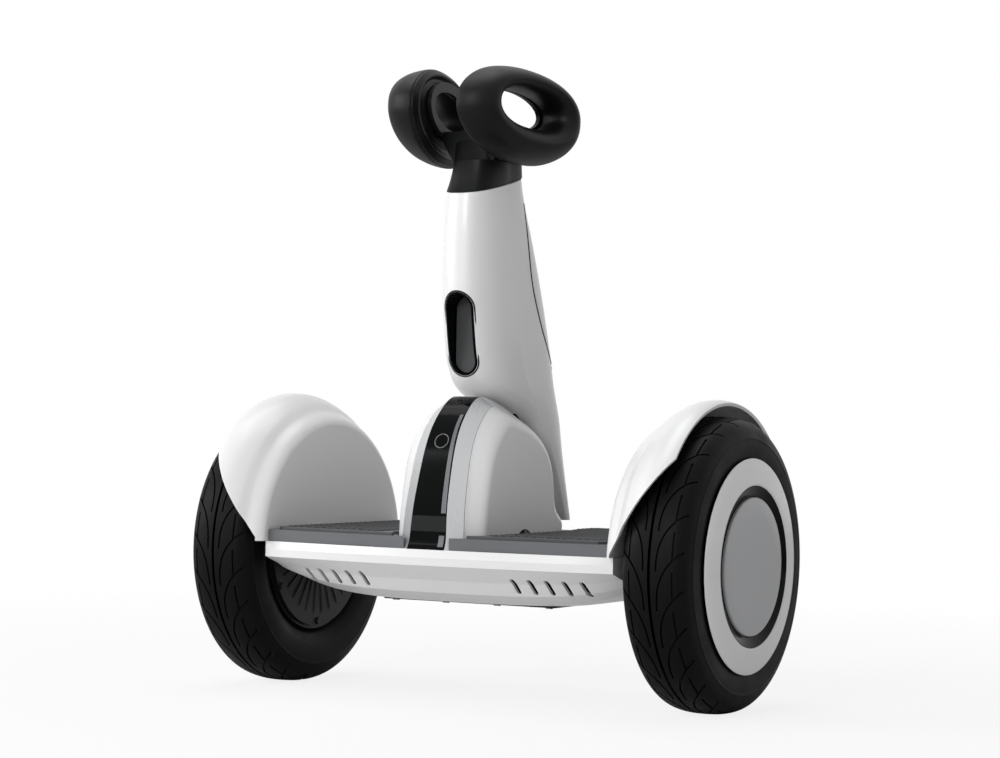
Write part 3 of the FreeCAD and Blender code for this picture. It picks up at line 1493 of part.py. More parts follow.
def neck_section(height, share):
    """One level section of the neck, rounded at the corners; its share draws in the sides and front."""
    half = float(size("neck_half_width")) * share
    front, rear = float(size("neck_front")) * share, float(size("neck_rear"))
    middle = (rear - front) / 2
    depth = (rear + front) / 2
    points = []
    for step in range(NECK_POINTS):
        turn = 2 * math.pi * step / NECK_POINTS
        across = half * math.copysign(abs(math.cos(turn)) ** NECK_POWER_SHARE, math.cos(turn))
        along = depth * math.copysign(abs(math.sin(turn)) ** NECK_POWER_SHARE, math.sin(turn))
        points.append(vector(across, middle + along, height))
    return closed_spline_wire(points)


def core_section(shares):
    """One level section of the block that joins the two plates above the neck."""
    height_share, width_share = shares
    low, high = float(level("neck_top_rise")), float(level("core_rise"))
    half = float(size("core_half_width")) * width_share
    front, rear = float(size("core_front")), float(size("core_rear"))
    spread_out = (front - rear) * height_share * CORE_TAPER_SHARE
    height = low + (high - low) * height_share
    return polygon_wire([
        vector(-half, front + spread_out, height), vector(half, front + spread_out, height),
        vector(half, rear - spread_out, height), vector(-half, rear - spread_out, height),
    ])


def make_knee_bar():
    """Neck, core with its two plates, pads, inner tube and the height release button."""
    top = float(level("neck_top_rise"))
    low = float(level("stem_top_rise"))
    heights = (low - float(size("stem_wall")), (low + top) / 2, top)
    neck = loft([neck_section(height, share) for height, share in zip(heights, NECK_WIDTH_SHARES)])
    cap = stem_cap_tool()
    cap.translate(FreeCAD.Vector(0, 0, float(GAP)))
    neck = neck.common(cap)
    inner_radius = float(INNER_TUBE_RADIUS)
    tube_low = float(level("inner_tube_low_rise"))
    tube_high = (top + float(level("core_rise"))) / 2
    tube = tube_piece(INNER_TUBE_RADIUS, INNER_TUBE_RADIUS - size("inner_tube_wall"), tube_low, tube_high)
    bore_low = tube_point(low - float(size("pocket_depth")))
    bore_length = (tube_point(tube_high) - bore_low).Length
    tube_room = Part.makeCylinder(inner_radius, bore_length, bore_low, TUBE_AXIS)
    press = float(size("release_radius")) * RELEASE_PRESS_SHARE
    button_rear = float(size("neck_rear"))
    seam = low + (button_rear + float(size("neck_front"))) * math.tan(math.radians(float(size("seam_angle"))))
    button_level = (seam + top) / 2
    depth = float(size("release_travel")) + press
    room = Part.makeCylinder(float(size("release_radius") + GAP), depth * 2,
                             vector(0, button_rear - depth, button_level), AXIS_Y)
    keep(solid(neck.cut([tube_room, room])), "handle_neck")
    keep(solid(tube), "inner_tube")
    button = Part.makeCylinder(float(size("release_radius")), press + float(GAP),
                               vector(0, button_rear - press, button_level), AXIS_Y)
    keep(solid(button), "release_button")
    block = loft([core_section(share) for share in CORE_SECTION_SHARES])
    pads = [piece.Shape for piece in PIECES if piece.Label.startswith("knee_pad")]
    core = block.fuse([ring_plate(side) for side in SIDES.values()]).cut(pads + [tube_room])
    keep(solid(core.removeSplitter()), "handle_core")


for side_name, side in SIDES.items():
    make_ring_pad(side_name, side)
make_knee_bar()

# Check every feature and write the files

DOCUMENT.recompute()
for item in DOCUMENT.Objects:
    problems = [word for word in item.State if word in ("Invalid", "Error")]
    if problems:
        raise RuntimeError(f"{item.Label} did not recompute: {problems}")
os.makedirs("parts", exist_ok=True)
faults = []
for piece in PIECES:
    shape = piece.Shape
    if shape.isNull() or not shape.isValid() or not shape.Solids:
        faults.append(piece.Label)
if faults:
    raise RuntimeError(f"no valid solid: {faults}")
for piece in PIECES:
    piece.Shape.exportStep(f"parts/{piece.Label}.step")
    print(f"{piece.Label}: {len(piece.Shape.Solids)} solid, {piece.Shape.Volume / 1000:.1f} cm3")
print(f"{len(PIECES)} sub-parts")
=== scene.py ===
"""Dresses a self balancing personal transporter: its finishes, its modelled pieces and the studio.

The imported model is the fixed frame. Sizes held by the classes are real millimetres, and meshes are
made in metres in the frame's own axes: +X right, -Y front, +Z up, with the floor at zero.
"""
from __future__ import annotations

import logging
import math
from dataclasses import dataclass
from enum import Enum
from typing import Any, Iterable, Sequence

import bmesh
import bpy
from mathutils import Matrix, Vector
from mathutils.bvhtree import BVHTree


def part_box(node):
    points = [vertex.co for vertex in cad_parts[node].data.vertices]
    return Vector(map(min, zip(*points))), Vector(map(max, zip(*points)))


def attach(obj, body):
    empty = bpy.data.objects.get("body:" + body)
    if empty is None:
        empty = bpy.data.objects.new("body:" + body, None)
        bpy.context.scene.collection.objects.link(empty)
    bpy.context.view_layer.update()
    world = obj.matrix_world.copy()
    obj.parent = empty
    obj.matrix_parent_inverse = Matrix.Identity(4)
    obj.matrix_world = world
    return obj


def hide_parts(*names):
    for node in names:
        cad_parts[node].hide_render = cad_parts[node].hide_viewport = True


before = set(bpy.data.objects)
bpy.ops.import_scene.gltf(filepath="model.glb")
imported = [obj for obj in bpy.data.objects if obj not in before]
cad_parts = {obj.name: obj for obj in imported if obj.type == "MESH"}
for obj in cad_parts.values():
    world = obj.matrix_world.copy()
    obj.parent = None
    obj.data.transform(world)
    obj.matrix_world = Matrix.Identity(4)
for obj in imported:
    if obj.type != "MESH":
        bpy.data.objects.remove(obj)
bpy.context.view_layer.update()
MM = 0.001
WELD = MM / 1000
SIDES = {"left": -1, "right": 1}
LOG = logging.getLogger("transporter")

Socket = bpy.types.NodeSocket
Tree = bpy.types.NodeTree
Profile = Sequence[tuple[float, float]]
Faces = list[tuple[int, ...]]
Form = tuple[list[Vector], Faces]
Spot = tuple[Vector, Vector]


def linear(colour: str) -> tuple[float, float, float, float]:
    """Turn an sRGB hex colour into Blender's linear colour.

    Args:
        colour: Six hex digits after a hash sign.

    Returns:
        Linear red, green, blue and full alpha.
    """
    channels = [int(colour[start:start + 2], 16) / 255 for start in (1, 3, 5)]
    low = [channel / 12.92 for channel in channels]
    high = [((channel + 0.055) / 1.055) ** 2.4 for channel in channels]
    red, green, blue = (a if channel <= 0.04045 else b for channel, a, b in zip(channels, low, high))
    return red, green, blue, 1.0


def add_node(tree: Tree, kind: str, settings: dict[str, Any] | None = None,
             links: dict[str | int, Socket] | None = None, **options: Any) -> bpy.types.Node:
    """Add one node to a tree.

    Args:
        tree: The material's or world's node tree.
        kind: Blender's name for the kind of node.
        settings: Values of input sockets by name or number.
        links: Output sockets to link to inputs by name or number.
        options: Properties of the node itself.

    Returns:
        The new node.
    """
    node = tree.nodes.new(kind)
    for key, value in options.items():
        setattr(node, key, value)
    for key, value in (settings or {}).items():
        node.inputs[key].default_value = value
    for key, source in (links or {}).items():
        tree.links.new(source, node.inputs[key])
    return node


class Grain(Enum):
    """How a surface got its fine relief."""

    ORANGE_PEEL = "sprayed"
    SPARK_ERODED = "moulded"
    SAND_CAST = "cast"
    BRUSHED = "brushed"
    GROUND = "ground"
    MILLED_LINES = "milled"


@dataclass(frozen=True)
class Finish:
    """One finish, as its maker would order it.

    Args:
        name: The material's common name.
        colour: Main sRGB colour.
        drift: The sRGB colour that broad patches drift towards.
        roughness: Middle roughness.
        grain: How the fine relief was made.
        grain_mm: Size of one grain of the relief, as it is drawn.
        relief_mm: Height of the relief.
        drift_mm: Size of the broad patches.
        roughness_swing: How far the roughness strays from its middle.
        metallic: One for bare metal.
        coat: Weight of a clear lacquer.
        coat_roughness: Roughness of that lacquer.
        sheen: Weight of a soft fuzzy glow at grazing angles.
        transmission: One for clear plastic.
        ior: Index of refraction; metals keep the default.
        specular: Strength of the plain reflection at a right angle; half is the usual one.
    """

    name: str
    colour: str
    drift: str
    roughness: float
    grain: Grain = Grain.SPARK_ERODED
    grain_mm: float = 0.8
    relief_mm: float = 0.01
    drift_mm: float = 120.0
    roughness_swing: float = 0.04
    metallic: float = 0.0
    coat: float = 0.0
    coat_roughness: float = 0.05
    sheen: float = 0.0
    transmission: float = 0.0
    ior: float = 1.5
    specular: float = 0.5

    # How much slower a brushed or milled relief changes along its lines than across them.
    LINE_SHARE = 0.02
    # The part of the broad noise's range that carries the roughness from its low to its high end.
    PATCH_RANGE = (0.3, 0.7)

    def relief(self, tree: Tree, place: Socket) -> Socket:
        """Make the height of the fine relief.

        Args:
            tree: The material's node tree.
            place: Coordinates in metres on the piece.

        Returns:
            The socket that gives the height, from zero to one.
        """
        rate = 1 / (self.grain_mm * MM)
        if self.grain in (Grain.BRUSHED, Grain.MILLED_LINES):
            run = rate * self.LINE_SHARE
            scale = (rate, rate, run) if self.grain is Grain.BRUSHED else (run, rate, rate)
            drawn = add_node(tree, "ShaderNodeMapping", {"Scale": scale}, {"Vector": place}).outputs[0]
            lines = add_node(tree, "ShaderNodeTexNoise", {"Scale": 1.0, "Detail": 3.0}, {"Vector": drawn})
            return lines.outputs["Fac"]
        if self.grain is Grain.SPARK_ERODED:
            cells = add_node(tree, "ShaderNodeTexVoronoi", {"Scale": rate}, {"Vector": place},
                             feature="SMOOTH_F1")
            return cells.outputs["Distance"]
        detail = {Grain.ORANGE_PEEL: 0.0, Grain.SAND_CAST: 4.0, Grain.GROUND: 2.0}[self.grain]
        waves = add_node(tree, "ShaderNodeTexNoise", {"Scale": rate, "Detail": detail}, {"Vector": place})
        return waves.outputs["Fac"]

    def build(self) -> bpy.types.Material:
        """Make the material, or return the one already made.

        Returns:
            The material with its nodes.
        """
        known = bpy.data.materials.get(self.name)
        if known is not None:
            return known
        material = bpy.data.materials.new(self.name)
        material.use_nodes = True
        tree = material.node_tree
        tree.nodes.clear()
        place = add_node(tree, "ShaderNodeTexCoord").outputs["Object"]
        patches = add_node(tree, "ShaderNodeTexNoise", {"Scale": 1 / (self.drift_mm * MM), "Detail": 3.0},
                           {"Vector": place}).outputs["Fac"]
        # The mix node's colour inputs are numbers 6 and 7, and its colour output is number 2.
        colour = add_node(tree, "ShaderNodeMix", {6: linear(self.colour), 7: linear(self.drift)},
                          {0: patches}, data_type="RGBA")
        low, high = self.PATCH_RANGE
        gloss = add_node(tree, "ShaderNodeMapRange",
                         {"From Min": low, "From Max": high, "To Min": self.roughness - self.roughness_swing,
                          "To Max": self.roughness + self.roughness_swing}, {"Value": patches})
        bump = add_node(tree, "ShaderNodeBump", {"Strength": 1.0, "Distance": self.relief_mm * MM},
                        {"Height": self.relief(tree, place)})
        values = {"Metallic": self.metallic, "Coat Weight": self.coat, "Coat Roughness": self.coat_roughness,
                  "Sheen Weight": self.sheen, "Transmission Weight": self.transmission}
        if not self.metallic:
            values |= {"IOR": self.ior, "Specular IOR Level": self.specular}
        shader = add_node(tree, "ShaderNodeBsdfPrincipled", values,
                          {"Base Color": colour.outputs[2], "Roughness": gloss.outputs[0],
                           "Normal": bump.outputs[0]})
        add_node(tree, "ShaderNodeOutputMaterial", links={"Surface": shader.outputs[0]})
        return material


# The real grain of moulded, brushed and ground faces is about 0.05 to 0.3 mm. That is too fine to show
# in the render, so such grains are drawn coarser, at 0.3 to 1.2 mm.

# Two coats of white over moulded ABS: satin, with a faint orange peel that softens every highlight.
PAINTED_ABS = Finish("painted_abs_white", "#E9E9E9", "#E4E4E5", 0.34, Grain.ORANGE_PEEL, 2.5, 0.006,
                     roughness_swing=0.03, coat=0.25, coat_roughness=0.18)
# Unpainted grey glass-filled nylon: dull, with the fine pits of a spark eroded mould.
GREY_NYLON = Finish("moulded_nylon_grey", "#5F6164", "#595B5E", 0.56, Grain.SPARK_ERODED, 0.9, 0.03)
# Black ABS with a moulded texture: dark, broad highlights.
BLACK_ABS = Finish("moulded_abs_black", "#0C0D0D", "#101111", 0.46, Grain.SPARK_ERODED, 0.8, 0.02, ior=1.45,
                   specular=0.2)
# Polished black polycarbonate: deep black with a faint mirror of the room.
GLOSS_POLYCARBONATE = Finish("polished_polycarbonate_black", "#040505", "#060707", 0.12, Grain.ORANGE_PEEL,
                             6.0, 0.004, roughness_swing=0.02, ior=1.45, specular=0.07)
# Tyre rubber straight from the mould: nearly black, with a low waxy shine.
SBR_RUBBER = Finish("sbr_tyre_rubber", "#050606", "#0A0A0A", 0.48, Grain.SAND_CAST, 1.2, 0.03, 40.0,
                    roughness_swing=0.08, ior=1.45, specular=0.10)
# Foamed polyurethane with an integral skin: matt black, soft at its edges.
SKINNED_FOAM = Finish("integral_skin_polyurethane", "#08080A", "#0C0C0D", 0.44, Grain.SPARK_ERODED, 1.0,
                      0.03, 60.0, roughness_swing=0.05, ior=1.45, specular=0.2)
# Moulded nitrile mat: dark grey, dusty and dull.
NITRILE_MAT = Finish("nitrile_mat_rubber", "#292A2C", "#303234", 0.58, Grain.SAND_CAST, 0.9, 0.03, 50.0,
                     roughness_swing=0.06, sheen=0.1)
# Silver lacquer over ABS: a metallic band that runs from bright to dark with the light; the same finish paints
# the highlight on the pocket's edge.
SILVER_LACQUER_AND_PAINTED_HIGHLIGHT = Finish("silver_lacquer_and_painted_highlight", "#C9CACC", "#BDBFC1", 0.28, Grain.GROUND, 0.4, 0.003,
                        metallic=0.55, roughness_swing=0.04)
# Grey paint on a turned disc: soft and even, with only a trace of the lathe.
PAINTED_DISC = Finish("painted_aluminium_grey", "#B4B5B7", "#AEAFB1", 0.40, Grain.ORANGE_PEEL, 1.8, 0.006,
                      coat=0.15, coat_roughness=0.2)
# Pressure die casting under a black electrocoat: dark, with a fine pebble.
COATED_CASTING = Finish("electrocoated_die_casting", "#0B0C0C", "#0F1010", 0.44, Grain.SAND_CAST, 1.5, 0.03,
                        specular=0.25)
# Extruded and machined aluminium: pale bare metal with fine lines along its run.
EXTRUDED_ALUMINIUM = Finish("extruded_aluminium", "#A9ABAE", "#9EA0A3", 0.36, Grain.MILLED_LINES, 0.5, 0.008,
                            metallic=1.0)
# Clear anodised tube: bright, brushed lengthwise.
ANODISED_TUBE = Finish("brushed_anodised_aluminium", "#B5B7BA", "#A8AAAD", 0.30, Grain.BRUSHED, 0.4, 0.008,
                       metallic=1.0)
# Ground chromium steel: small, sharp highlights.
GROUND_STEEL = Finish("ground_bearing_steel", "#9A9C9F", "#8C8E91", 0.22, Grain.GROUND, 0.3, 0.003, metallic=1.0)
# Varnished copper windings over laminated steel: warm and uneven.
WOUND_COPPER = Finish("enamelled_copper_winding", "#8A4B2A", "#5E3A28", 0.35, Grain.MILLED_LINES, 0.8, 0.06,
                      20.0, metallic=0.8)
# Sintered bronze bush: warm and slightly porous.
SINTERED_BRONZE = Finish("sintered_bronze", "#8F6B3C", "#7A5A33", 0.42, Grain.SAND_CAST, 0.5, 0.01, metallic=1.0)
# Glass fibre board under green solder mask: flat dark green with a thin gloss.
SOLDER_MASK = Finish("glass_fibre_board", "#1F4A2C", "#193E26", 0.35, Grain.GROUND, 0.6, 0.01, 20.0, coat=0.3)
# Smoked polycarbonate lens: nearly black while the lamp behind it is off.
SMOKED_LENS = Finish("smoked_polycarbonate", "#101112", "#141516", 0.16, Grain.ORANGE_PEEL, 5.0, 0.003,
                     roughness_swing=0.02, ior=1.45, specular=0.3)
# Cool middle grey under a soft gloss: the button's ring, and the grey bars that paint the reflection of the
# strip's right chamfer.
GREY_RING_AND_PAINTED_REFLECTION = Finish("grey_ring_and_painted_reflection", "#707276", "#66686B", 0.25, Grain.ORANGE_PEEL, 5.0,
                    0.003, roughness_swing=0.03, specular=0.3)
# Red acrylic over the rear lamp: dark red and glassy, with a little light let through.
RED_ACRYLIC = Finish("red_acrylic_lens", "#7A1414", "#6C1010", 0.12, Grain.ORANGE_PEEL, 4.0, 0.004,
                     transmission=0.3, ior=1.49)

NODE_FINISHES = {
    "tyre": SBR_RUBBER, "wheel_drum": COATED_CASTING, "motor_end_cover": COATED_CASTING,
    "wheel_bearings": GROUND_STEEL, "motor_stator": WOUND_COPPER, "end_cover_screws": COATED_CASTING,
    "magnet_ring": GROUND_STEEL, "wheel_trim_ring": PAINTED_ABS, "hub_cap": PAINTED_DISC,
    "axle": GROUND_STEEL, "lower_hull": PAINTED_ABS, "battery_cover": BLACK_ABS, "battery_pack": BLACK_ABS,
    "chassis_frame": EXTRUDED_ALUMINIUM, "control_board": SOLDER_MASK, "balance_sensor_board": SOLDER_MASK,
    "motor_controller": EXTRUDED_ALUMINIUM, "step_plate": GREY_NYLON, "foot_mat": NITRILE_MAT,
    "foot_switches": BLACK_ABS, "fender": PAINTED_ABS, "headlight_lens": SMOKED_LENS,
    "front_panel": GLOSS_POLYCARBONATE, "cowl_top_cap": GLOSS_POLYCARBONATE, "bezel_band": SILVER_LACQUER_AND_PAINTED_HIGHLIGHT,
    "cowl_shell": PAINTED_ABS, "power_button": GLOSS_POLYCARBONATE, "rear_deck_cover": BLACK_ABS,
    "tail_light": RED_ACRYLIC, "charge_socket": BLACK_ABS, "charge_cap": SKINNED_FOAM,
    "battery_cover_screws": GROUND_STEEL, "pivot_bracket": EXTRUDED_ALUMINIUM,
    "pivot_bearings": SINTERED_BRONZE, "pivot_shaft": GROUND_STEEL, "stem_rear_cover": PAINTED_ABS,
    "stem_front_shell": PAINTED_ABS, "pocket_liner": GLOSS_POLYCARBONATE, "stem_tube": ANODISED_TUBE,
    "steering_arm": COATED_CASTING, "knee_pad": SKINNED_FOAM, "handle_neck": BLACK_ABS,
    "inner_tube": ANODISED_TUBE, "release_button": PAINTED_DISC, "handle_core": BLACK_ABS,
}


def dress_nodes() -> None:
    """Give every CAD node the finish of its kind; a name may end in its side."""
    for name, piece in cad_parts.items():
        kind = name.removesuffix("_left").removesuffix("_right")
        finish = NODE_FINISHES[kind].build()
        if not piece.material_slots:
            piece.data.materials.append(finish)
        for held in piece.material_slots:
            held.material = finish
    LOG.info("dressed %d CAD nodes", len(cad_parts))


def smooth_line(corners: Profile, steps: int) -> list[tuple[float, float]]:
    """Draw a smooth line through corners.

    Args:
        corners: Pairs that the line passes through.
        steps: Points from one corner to the next.

    Returns:
        Points of a Catmull-Rom line, with both ends.
    """
    padded = [corners[0], *corners, corners[-1]]
    line = []
    for before, start, end, after in zip(padded, padded[1:], padded[2:], padded[3:]):
        for step in range(steps):
            part = step / steps
            line.append(tuple(
                0.5 * (2 * b + (c - a) * part + (2 * a - 5 * b + 4 * c - d) * part ** 2
                       + (3 * b - a - 3 * c + d) * part ** 3)
                for a, b, c, d in zip(before, start, end, after)))
    return [*line, tuple(corners[-1])]


def between(table: Profile, place: float) -> float:
    """Read a table of (place, value) rows at a place, in straight lines between its rows.

    Args:
        table: Rows in rising order of place.
        place: Where to read.

    Returns:
        The value there.
    """
    place = min(max(place, table[0][0]), table[-1][0])
    for (low, start), (high, end) in zip(table, table[1:]):
        if place <= high:
            return start + (end - start) * (place - low) / (high - low)
    return table[-1][1]


def quads(rows: int, columns: int, close_rows: bool = True, close_columns: bool = True) -> Faces:
    """List the four cornered faces between neighbouring rows of points.

    Args:
        rows: Number of rows.
        columns: Points in a row.
        close_rows: Whether the last row joins the first.
        close_columns: Whether the last point of a row joins its first.

    Returns:
        Corner numbers of each face.
    """
    faces = []
    for row in range(rows if close_rows else rows - 1):
        for column in range(columns if close_columns else columns - 1):
            next_row, next_column = (row + 1) % rows, (column + 1) % columns
            faces.append((row * columns + column, next_row * columns + column,
                          next_row * columns + next_column, row * columns + next_column))
    return faces


def tube(rows: Sequence[Sequence[Vector]]) -> Form:
    """Join closed sections into one solid with flat ends.

    Args:
        rows: Sections with the same number of points.

    Returns:
        Points and faces of the solid.
    """
    columns = len(rows[0])
    faces = quads(len(rows), columns, close_rows=False)
    last = (len(rows) - 1) * columns
    faces.append(tuple(range(columns)))
    faces.append(tuple(last + column for column in reversed(range(columns))))
    return [point for row in rows for point in row], faces


def round_turns(steps: int) -> list[float]:
    """Give the angles, in radians, of equal steps round a circle."""
    return [2 * math.pi * step / steps for step in range(steps)]


def joined(forms: Iterable[Form]) -> Form:
    """Put several forms in one, without welding them.

    Args:
        forms: Points and faces of each form.

    Returns:
        Points and faces of them all.
    """
    points, faces = [], []
    for more_points, more_faces in forms:
        faces += [tuple(corner + len(points) for corner in face) for face in more_faces]
        points += more_points
    return points, faces


def turned(profile: Profile, hand: int, steps: int) -> Form:
    """Turn a closed outline about the X axis.

    Args:
        profile: Pairs of (outwards, radius), closed on itself.
        hand: Side of the object that outwards points to.
        steps: Faces round the axis.

    Returns:
        Points and faces of the ring, about the origin.
    """
    points = [Vector((out * hand, radius * math.cos(turn), radius * math.sin(turn)))
              for turn in round_turns(steps) for out, radius in profile]
    return points, quads(steps, len(profile))


class Assembly:
    """What every sub-assembly of the dressed model can do."""

    def plain_mesh(self, name: str, points: Sequence[Vector], faces: Faces) -> bpy.types.Object:
        """Make an object from millimetre points, with its faces turned outwards.

        Args:
            name: The object's name.
            points: Corners in millimetres.
            faces: Corner numbers of each face.

        Returns:
            The new object, linked to the scene.
        """
        mesh = bpy.data.meshes.new(name)
        mesh.from_pydata([point * MM for point in points], [], faces)
        work = bmesh.new()
        work.from_mesh(mesh)
        bmesh.ops.remove_doubles(work, verts=work.verts, dist=WELD)
        bmesh.ops.recalc_face_normals(work, faces=work.faces)
        work.to_mesh(mesh)
        work.free()
        thing = bpy.data.objects.new(name, mesh)
        bpy.context.scene.collection.objects.link(thing)
        return thing

    def finish_piece(self, thing: bpy.types.Object, finish: Finish, body: str, slot: str,
                     replaces: Sequence[str] = (), sharp: float = 35.0) -> bpy.types.Object:
        """Shade and paint a piece, and hang it on its body.

        Args:
            thing: The piece.
            finish: Its finish.
            body: The CAD body that it moves with.
            slot: The record's material slot; not used.
            replaces: CAD nodes that it stands for.
            sharp: Angle in degrees from which an edge stays sharp.

        Returns:
            The same piece.
        """
        mesh = thing.data
        mesh.materials.clear()
        mesh.materials.append(finish.build())
        mesh.shade_smooth()
        mesh.set_sharp_from_angle(angle=math.radians(sharp))
        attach(thing, body)
        if replaces:
            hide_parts(*replaces)
        LOG.info("%s: %d faces on %s", thing.name, len(mesh.polygons), body)
        return thing

    def piece(self, name: str, form: Form, finish: Finish, body: str, slot: str,
              replaces: Sequence[str] = (), sharp: float = 35.0) -> bpy.types.Object:
        """Make a piece from points and faces and finish it, with the arguments of the two methods above."""
        return self.finish_piece(self.plain_mesh(name, *form), finish, body, slot, replaces, sharp)


@dataclass
class Wheel(Assembly):
    """One wheel's tyre with its tread, and what shows on its outer and inner face.

    Args:
        side: Name of the side it stands on.
        bead_radius: Radius at the tyre's bead.
        pitches: Times that the tread repeats round the tyre.
        arc_start: Distance of the curved grooves' inner end from the middle.
        arc_reach: How far across the curved grooves run.
        arc_rise: How far round the tyre each curved groove runs.
        arc_power: How late a curved groove turns to the shoulder.
        arc_steps: Straight pieces in one curved groove.
        sipe_place: Distance of the short grooves from the middle.
        sipe_length: Length of the short grooves.
        groove_width: Width of every groove.
        groove_depth: Depth of every groove.
        groove_overrun: How far a groove's cutter stands out of the tread.
        cord_radii: Radii of the fine cords on the walls.
        cord_height: Height of a cord.
        cord_width: Distance over which a cord fades.
        carcass: Corners of the tyre's inside: across and radius.
        face: Distance of the outer face's plane from the wheel's middle.
        rib_count: Number of cooling ribs on the inner cover.
        rib_line: Radius and height of a rib at places along it.
        rib_halves: Half of a rib's width at its foot and at its top.
    """

    side: str
    bead_radius: float = 82.5
    pitches: int = 24
    arc_start: float = 6.5
    arc_reach: float = 23.5
    arc_rise: float = 55.0
    arc_power: float = 2.7
    arc_steps: int = 14
    sipe_place: float = 21.5
    sipe_length: float = 26.5
    groove_width: float = 1.7
    groove_depth: float = 2.5
    groove_overrun: float = 3.0
    cord_radii: tuple[float, float] = (120.6, 100.8)
    cord_height: float = 0.5
    cord_width: float = 0.8
    carcass: tuple[tuple[float, float], ...] = (
        (19.0, 84.0), (21.0, 94.0), (26.0, 110.0), (19.0, 124.0), (0.0, 130.0))
    face: float = 37.0
    rib_count: int = 30
    rib_line: tuple[tuple[float, float], ...] = ((27.0, 0.2), (30.0, 1.4), (66.0, 1.4), (70.0, 0.2))
    rib_halves: tuple[float, float] = (1.3, 0.7)

    # The tyre's section from bead to crown, as shares of its half width and of its wall's height.
    OUTLINE_SHARES = ((0.70, 0.00), (0.705, 0.035), (0.72, 0.07), (0.85, 0.15), (0.97, 0.33), (1.00, 0.50),
                      (0.985, 0.66), (0.90, 0.82), (0.70, 0.935), (0.38, 0.988), (0.00, 1.00))
    # Shares of the radius: from where the section counts as tread, and up to where the wall has cords.
    TREAD_SHARE = 0.85
    WALL_SHARE = 0.9
    TYRE_STEPS = 192
    FACE_STEPS = 160
    # Closed outlines of the face's pieces: outwards from the face's plane, and radius.
    RING = ((0.0, 76.1), (0.0, 79.0), (-0.9, 100.6), (-0.6, 101.3), (0.0, 101.5), (0.5, 101.2), (0.9, 100.4),
            (2.4, 92.0), (3.8, 83.0), (4.3, 79.2), (4.48, 77.9), (4.45, 77.0), (4.2, 76.4), (3.7, 76.1))
    DISH = ((0.0, 65.4), (0.0, 75.9), (3.6, 75.9), (3.9, 75.5), (3.7, 75.0), (1.3, 68.4), (0.8, 67.4),
            (0.6, 66.4), (0.6, 65.4))
    DISC = ((0.0, 0.4), (0.0, 65.1), (1.9, 65.1), (2.7, 64.9), (3.2, 64.4), (3.5, 63.6), (3.9, 50.0),
            (4.3, 25.0), (4.45, 0.4))

    def __post_init__(self) -> None:
        """Read the wheel's place and size from the frame."""
        low, high = (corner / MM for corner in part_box(f"tyre_{self.side}"))
        self.hand = SIDES[self.side]
        self.centre = (low + high) / 2
        self.radius = (high.z - low.z) / 2
        self.half_width = (high.x - low.x) / 2
        self.body = f"wheel_{self.side}"
        tall = self.radius - self.bead_radius
        corners = [(out * self.half_width, self.bead_radius + up * tall) for out, up in self.OUTLINE_SHARES]
        self.outline = smooth_line(corners, 5)

    def crown(self, out: float) -> tuple[Vector, Vector]:
        """Find the tread's surface at a distance from the middle.

        Args:
            out: Distance across, signed.

        Returns:
            The point (across, radius) and the direction out of the rubber there.
        """
        upper = [place for place in reversed(self.outline) if place[1] > self.radius * self.TREAD_SHARE]
        radius = between(upper, abs(out))
        # The slope is read over one millimetre, half to each side.
        slope = between(upper, abs(out) + 0.5) - between(upper, abs(out) - 0.5)
        normal = Vector((-slope * math.copysign(1, out), 1.0)).normalized()
        return Vector((out, radius)), normal

    def groove(self, path: Profile) -> Form:
        """Make the cutter of one groove.

        Args:
            path: Pairs of (across, distance round the tyre).

        Returns:
            Points and faces of a bar that follows the path, half sunk in the tread.
        """
        places = []
        for out, along in path:
            point, normal = self.crown(out)
            turn = along / self.radius
            spoke = Vector((0, -math.cos(turn), math.sin(turn)))
            places.append(tuple(Vector((pair.x, 0, 0)) + spoke * pair.y for pair in (point, normal)))
        rows = []
        for index, (place, normal) in enumerate(places):
            ahead = places[min(index + 1, len(places) - 1)][0] - places[max(index - 1, 0)][0]
            aside = normal.cross(ahead).normalized() * self.groove_width / 2
            low, high = place - normal * self.groove_depth, place + normal * self.groove_overrun
            rows.append([low - aside, low + aside, high + aside, high - aside])
        return tube(rows)

    def cutter(self, name: str, paths: Iterable[Profile]) -> bpy.types.Object:
        """Join the cutters of several grooves in one object."""
        return self.plain_mesh(name, *joined(self.groove(path) for path in paths))

    def tyre_profile(self) -> list[tuple[float, float]]:
        """Draw the closed section of the tyre, with the fine cords on its walls.

        Returns:
            Pairs of (across, radius).
        """
        half = []
        for out, radius in self.outline:
            lift = sum(math.exp(-((radius - cord) / self.cord_width) ** 2) for cord in self.cord_radii)
            height = 0 if radius > self.radius * self.WALL_SHARE else self.cord_height
            half.append((out + lift * height, radius))
        half += reversed(self.carcass)
        return half + [(-out, radius) for out, radius in reversed(half) if out > 0]

    def tread_paths(self) -> dict[str, list[Profile]]:
        """List the grooves that do not run straight round the tyre.

        Returns:
            Paths of the curved and of the short grooves: across, and distance round the tyre.
        """
        pitch = 2 * math.pi * self.radius / self.pitches
        arcs, sipes = [], []
        crossing = self.arc_rise * ((self.sipe_place - self.arc_start) / self.arc_reach) ** (1 / self.arc_power)
        shares = [step / self.arc_steps for step in range(self.arc_steps + 1)]
        for number in range(self.pitches):
            for hand in SIDES.values():
                start = pitch * number
                arcs.append([(hand * (self.arc_start + self.arc_reach * share ** self.arc_power),
                              start + self.arc_rise * share) for share in shares])
                sipes.append([(hand * self.sipe_place, start + crossing + self.sipe_length * share)
                              for share in shares[::2]])
        return {"arcs": arcs, "sipes": sipes}

